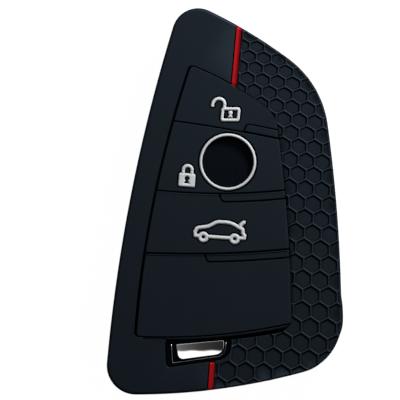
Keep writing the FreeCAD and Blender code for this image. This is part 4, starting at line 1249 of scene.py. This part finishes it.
def make_stripe(name):
    """Hollow stripe with walls that reach into its bed, then down the side of the cover."""
    place = np.concatenate([[-1], np.linspace(-0.97, 0.97, 17), [1]])
    across = place * STRIPE_WIDTH / 2
    reach = stripe_reach(name, across)
    wall = abs(place) == 1
    top = STRIPE_RISE - STRIPE_HOLLOW * (1 - (2 * across / STRIPE_WIDTH) ** 2)
    shares = np.concatenate([np.linspace(0, 0.15, 5), np.linspace(0.2, 0.7, 8), np.linspace(0.72, 1, 22)])
    rows = []
    for share in shares:
        p = stripe_point(name, reach * share + 1j * across)
        base, steep, away = front_base(p)
        start_fade = smooth(reach * share / STRIPE_START)
        lift = np.where(wall, 0, (STRIPE_SIDE + top) * start_fade) - STRIPE_SIDE
        rows.append(stack(p + away * steep * lift, base + np.sqrt(1 - steep ** 2) * lift))
    for drop in STRIPE_DROPS:
        lift = np.where(wall, -STRIPE_SIDE, top - STRIPE_LEAN * drop)
        rows.append(stack(p + away * lift, FACE - FRONT_EDGE - drop))
    # Painted shade on the stripe: darker all over by its middle shade, toward its dark side and near the edge
    # of its light side.
    middle_shade, dark_side, light_side = STRIPE_SHADES[name]
    shade = middle_shade + dark_side * smooth(-place) + light_side * smooth((place - LIGHT_FROM) / LIGHT_RUN)
    stripe = Builder()
    stripe.sheet([row[::-1] for row in rows], tone=np.tile(-shade[::-1], len(rows)))
    stripe.piece("red_" + name + "_stripe", "covered_remote", RED, "accent_red", name + "_red_stripe")


# Chrome in the window
PLATE_CORNERS = [-12.4 - 35.76j, -11.68 - 39.56j, -0.3 - 38.06j, -0.43 - 34.69j]
PLATE_ROUNDS = [0.4, 1.3, 2.4, 0.4]
PLATE_TILT, PLATE_FOLD, PLATE_BEND, PLATE_CURVE, PLATE_MIDDLE = 0.22, 1.5, 0.12, 0.013, -6.2
FOLD_TURN, FOLD_WAVE, FOLD_WAVES = 0.105, 0.08, 1.3
PLATE_EDGE, PLATE_SINK, PLATE_INSETS = 0.1, 0.42, (0, 0.03, 0.06, 0.1, 0.14)
PLATE_LOW, PLATE_HIGH, PLATE_STEPS, PLATE_INSIDE = -12.6 - 39.8j, 0.2 - 34.4j, (0.2, 0.12), 0.16
RIM_INSETS, RIM_ROUNDS, RIM_WIDTH = [1.52, 0.87, 1.17, 0.47], [0.4, 0.4, 2.3, 0.4], 0.22
RIM_SINK, RIM_RISE, RIM_TOP_GAP, RIM_TOP_RUN, CHROME_STEP = 0.05, 0.3, 0.7, 0.8, 0.3


def make_plate():
    """Dished plate with a soft edge, its lower part turned up toward the tip."""
    shapes = [Shape(PLATE_CORNERS, STRAIGHT, [inset] * 4, PLATE_ROUNDS) for inset in PLATE_INSETS]
    edge = shapes[0]
    inner, _ = grid(PLATE_LOW, PLATE_HIGH, *PLATE_STEPS)
    inner = inner[edge.depth(inner) > PLATE_INSIDE]
    centre, reach = edge.circles[BOTTOM]

    def height(p):
        up = reach - abs(p - centre)
        fold = PLATE_FOLD - FOLD_TURN * (p.real - PLATE_MIDDLE) + FOLD_WAVE * np.sin(FOLD_WAVES * p.real)
        bend = PLATE_TILT * PLATE_BEND * np.log1p(np.exp((fold - up) / PLATE_BEND))
        dish = PLATE_CURVE * (p.real - PLATE_MIDDLE) ** 2 / 2
        rim = np.clip(edge.depth(p), 0, PLATE_EDGE)
        return PLATE_TOP - PLATE_SINK + bend + dish + np.sqrt(PLATE_EDGE ** 2 - (PLATE_EDGE - rim) ** 2)

    plan, faces = triangulate([shape.loop(CHROME_STEP) for shape in shapes], inner)
    middle = plan[faces].mean(axis=1)
    plan, faces = keep_used(plan, faces[edge.depth(middle) > 0])
    plate = Builder()
    place = plate.top(plan, faces, height)
    plate.curtain(place, rim_edges(faces), BEZEL_TOP)
    plate.piece("dished_chrome_plate", "covered_remote", CHROME, "bright_chrome", "chrome_plate")


def make_rim():
    """Round bright bead along the left, lower and right side of the window."""
    loop = Shape(WINDOW_CORNERS, STRAIGHT, RIM_INSETS, RIM_ROUNDS).loop(CHROME_STEP)
    ahead = np.roll(loop, -1) - np.roll(loop, 1)
    side = 1j * ahead / abs(ahead)
    centre, reach = WINDOW.circles[TOP]
    shown = smooth((reach - abs(loop - centre) - RIM_TOP_GAP) / RIM_TOP_RUN)
    rows = []
    for angle in np.radians(np.linspace(-10, 190, 13)):
        across = RIM_WIDTH / 2 * math.cos(angle)
        lift = RIM_RISE * max(math.sin(angle), 0) * shown
        rows.append(stack(loop + side * across, BEZEL_TOP - RIM_SINK + lift))
    rim = Builder()
    rim.sheet(rows[::-1], closed=True)
    rim.piece("bright_rim_bead", "covered_remote", SHADED_CHROME, "bright_chrome", "trim_rim")


make_cover()
make_pad("unlock", None, "first", "first")
make_pad("lock", "first", "second", None)
make_pad("trunk", "second", "third", "second")
make_ring()
for icon_name in ICONS:
    make_icon(icon_name)
for stripe_name in STRIPES:
    make_stripe(stripe_name)
make_plate()
make_rim()

# Finishes of the hard pieces inside
NODE_FINISHES = {
    "fob_front_housing": (FOB_BLACK, "fob_black"), "fob_rear_housing": (FOB_BLACK, "fob_black"),
    "battery_cover": (FOB_BLACK, "fob_black"), "housing_seal": (SEAL_GREY, "seal_grey"),
    "trim_bezel": (GLOSS_BLACK, "fob_black"), "lock_key_disc": (DISC_BLACK, "key_black"),
    "circuit_board": (BOARD_GREEN, "board_green"), "control_chip": (PART_BLACK, "part_black"),
    "antenna_coil": (PART_BLACK, "part_black"), "coin_cell": (STEEL, "steel"),
    "negative_contact": (STEEL, "steel"), "positive_contact": (STEEL, "steel"),
    "emergency_blade": (STEEL, "steel"),
}
for key_name in ("unlock", "lock", "trunk"):
    NODE_FINISHES[key_name + "_key"] = (KEY_BLACK, "key_black")
    NODE_FINISHES[key_name + "_plunger"] = (PLUNGER_WHITE, "plunger_white")
    NODE_FINISHES[key_name + "_switch"] = (PART_BLACK, "part_black")
for node_name, (finish, slot_name) in NODE_FINISHES.items():
    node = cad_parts[node_name]
    node.data.materials.clear()
    node.data.materials.append(finish)


# Floor
FLOOR_HALF, FLOOR_LEVEL, FLOOR_GLOW = 2.0, -0.0003, 0.985


def floor_material():
    """White to the eye with a faint shadow, plain white to light."""
    material = bpy.data.materials.new("pale_floor")
    material.use_nodes = True
    tree = material.node_tree
    seen = add_node(tree, "LightPath").outputs["Is Camera Ray"]
    glow = add_node(tree, "Math", {0: seen, 1: FLOOR_GLOW}, operation="MULTIPLY")
    fill_inputs(tree, tree.nodes["Principled BSDF"], {
        "Base Color": (0.12, 0.12, 0.12, 1), "Roughness": 0.9, "Specular IOR Level": 0.0,
        "Emission Color": (1, 1, 1, 1), "Emission Strength": glow.outputs[0],
    })
    return material


def make_floor():
    """Wide square just below the part."""
    mesh = bpy.data.meshes.new("floor")
    corners = [(-1, -1), (1, -1), (1, 1), (-1, 1)]
    mesh.from_pydata([(x * FLOOR_HALF, y * FLOOR_HALF, FLOOR_LEVEL) for x, y in corners], [], [(0, 1, 2, 3)])
    mesh.materials.append(floor_material())
    floor = add_object("floor", mesh)
    floor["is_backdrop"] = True


# Light
SHINE_STOPS = [(0.1, 0.018), (0.2, 0.045), (0.26, 0.11), (0.34, 0.27), (0.54, 1.2)]
SHINE_SLANT, SHINE_SHIFT = 0.6, 0.2
FILL_COLOUR, FILL_LEVEL = (0.95, 0.98, 1.0, 1), 0.11


def make_world():
    """White to the eye; to reflections dark overhead and bright beyond the tip; dim fill."""
    world = bpy.data.worlds.new("studio")
    bpy.context.scene.world = world
    world.use_nodes = True
    tree = world.node_tree
    tree.nodes.clear()
    path = add_node(tree, "LightPath").outputs
    axes = add_node(tree, "SeparateXYZ", {0: add_node(tree, "TexCoord").outputs["Generated"]}).outputs
    slant = add_node(tree, "Math", {0: axes["X"], 1: SHINE_SLANT, 2: axes["Y"]}, operation="MULTIPLY_ADD")
    shift = add_node(tree, "Math", {0: slant.outputs[0], 1: SHINE_SHIFT}, operation="ADD")
    ramp = add_node(tree, "ValToRGB", {"Fac": shift.outputs[0]})
    stops = ramp.color_ramp.elements
    while len(stops) < len(SHINE_STOPS):
        stops.new(1.0)
    for stop, (place, level) in zip(stops, SHINE_STOPS):
        stop.position = place
        stop.color = (level, level, level, 1)
    eye = add_node(tree, "Background", {"Color": (1, 1, 1, 1)})
    shine = add_node(tree, "Background", {"Color": ramp.outputs["Color"]})
    fill = add_node(tree, "Background", {"Color": FILL_COLOUR, "Strength": FILL_LEVEL})
    lit = add_node(tree, "MixShader", {"Fac": path["Is Glossy Ray"], 1: fill.outputs[0], 2: shine.outputs[0]})
    seen = add_node(tree, "MixShader", {"Fac": path["Is Camera Ray"], 1: lit.outputs[0], 2: eye.outputs[0]})
    add_node(tree, "OutputWorld", {"Surface": seen.outputs[0]})


def make_light(name, place, aim, size, power):
    """Square light aimed at a point."""
    data = bpy.data.lights.new(name, "AREA")
    data.shape = "SQUARE"
    data.size = size
    data.energy = power
    light = add_object(name, data)
    light.location = place
    light.rotation_euler = (Vector(aim) - Vector(place)).to_track_quat("-Z", "Y").to_euler()


FRAME_MIDDLE = -6.3625 + 0.375j


def make_camera():
    """Straight above, with a long lens; the frame is 100 mm wide at the front face."""
    distance, wide, sensor = 4.0, 0.1, 36
    data = bpy.data.cameras.new("camera")
    data.sensor_width = sensor
    data.lens = sensor * distance / wide
    camera = add_object("camera", data)
    camera.location = (FRAME_MIDDLE.real * MM, FRAME_MIDDLE.imag * MM, FACE * MM + distance)
    camera.rotation_euler = (0, 0, 0)
    bpy.context.scene.camera = camera


make_floor()
make_world()
make_light("softbox", (0.115, 0.17, 0.175), (0, 0.0, 0.016), 0.06, 1.07)
make_camera()
bpy.context.scene.view_settings.view_transform = "Standard"

[[list(corner) for corner in box] for box in (CAD_BOX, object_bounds())]
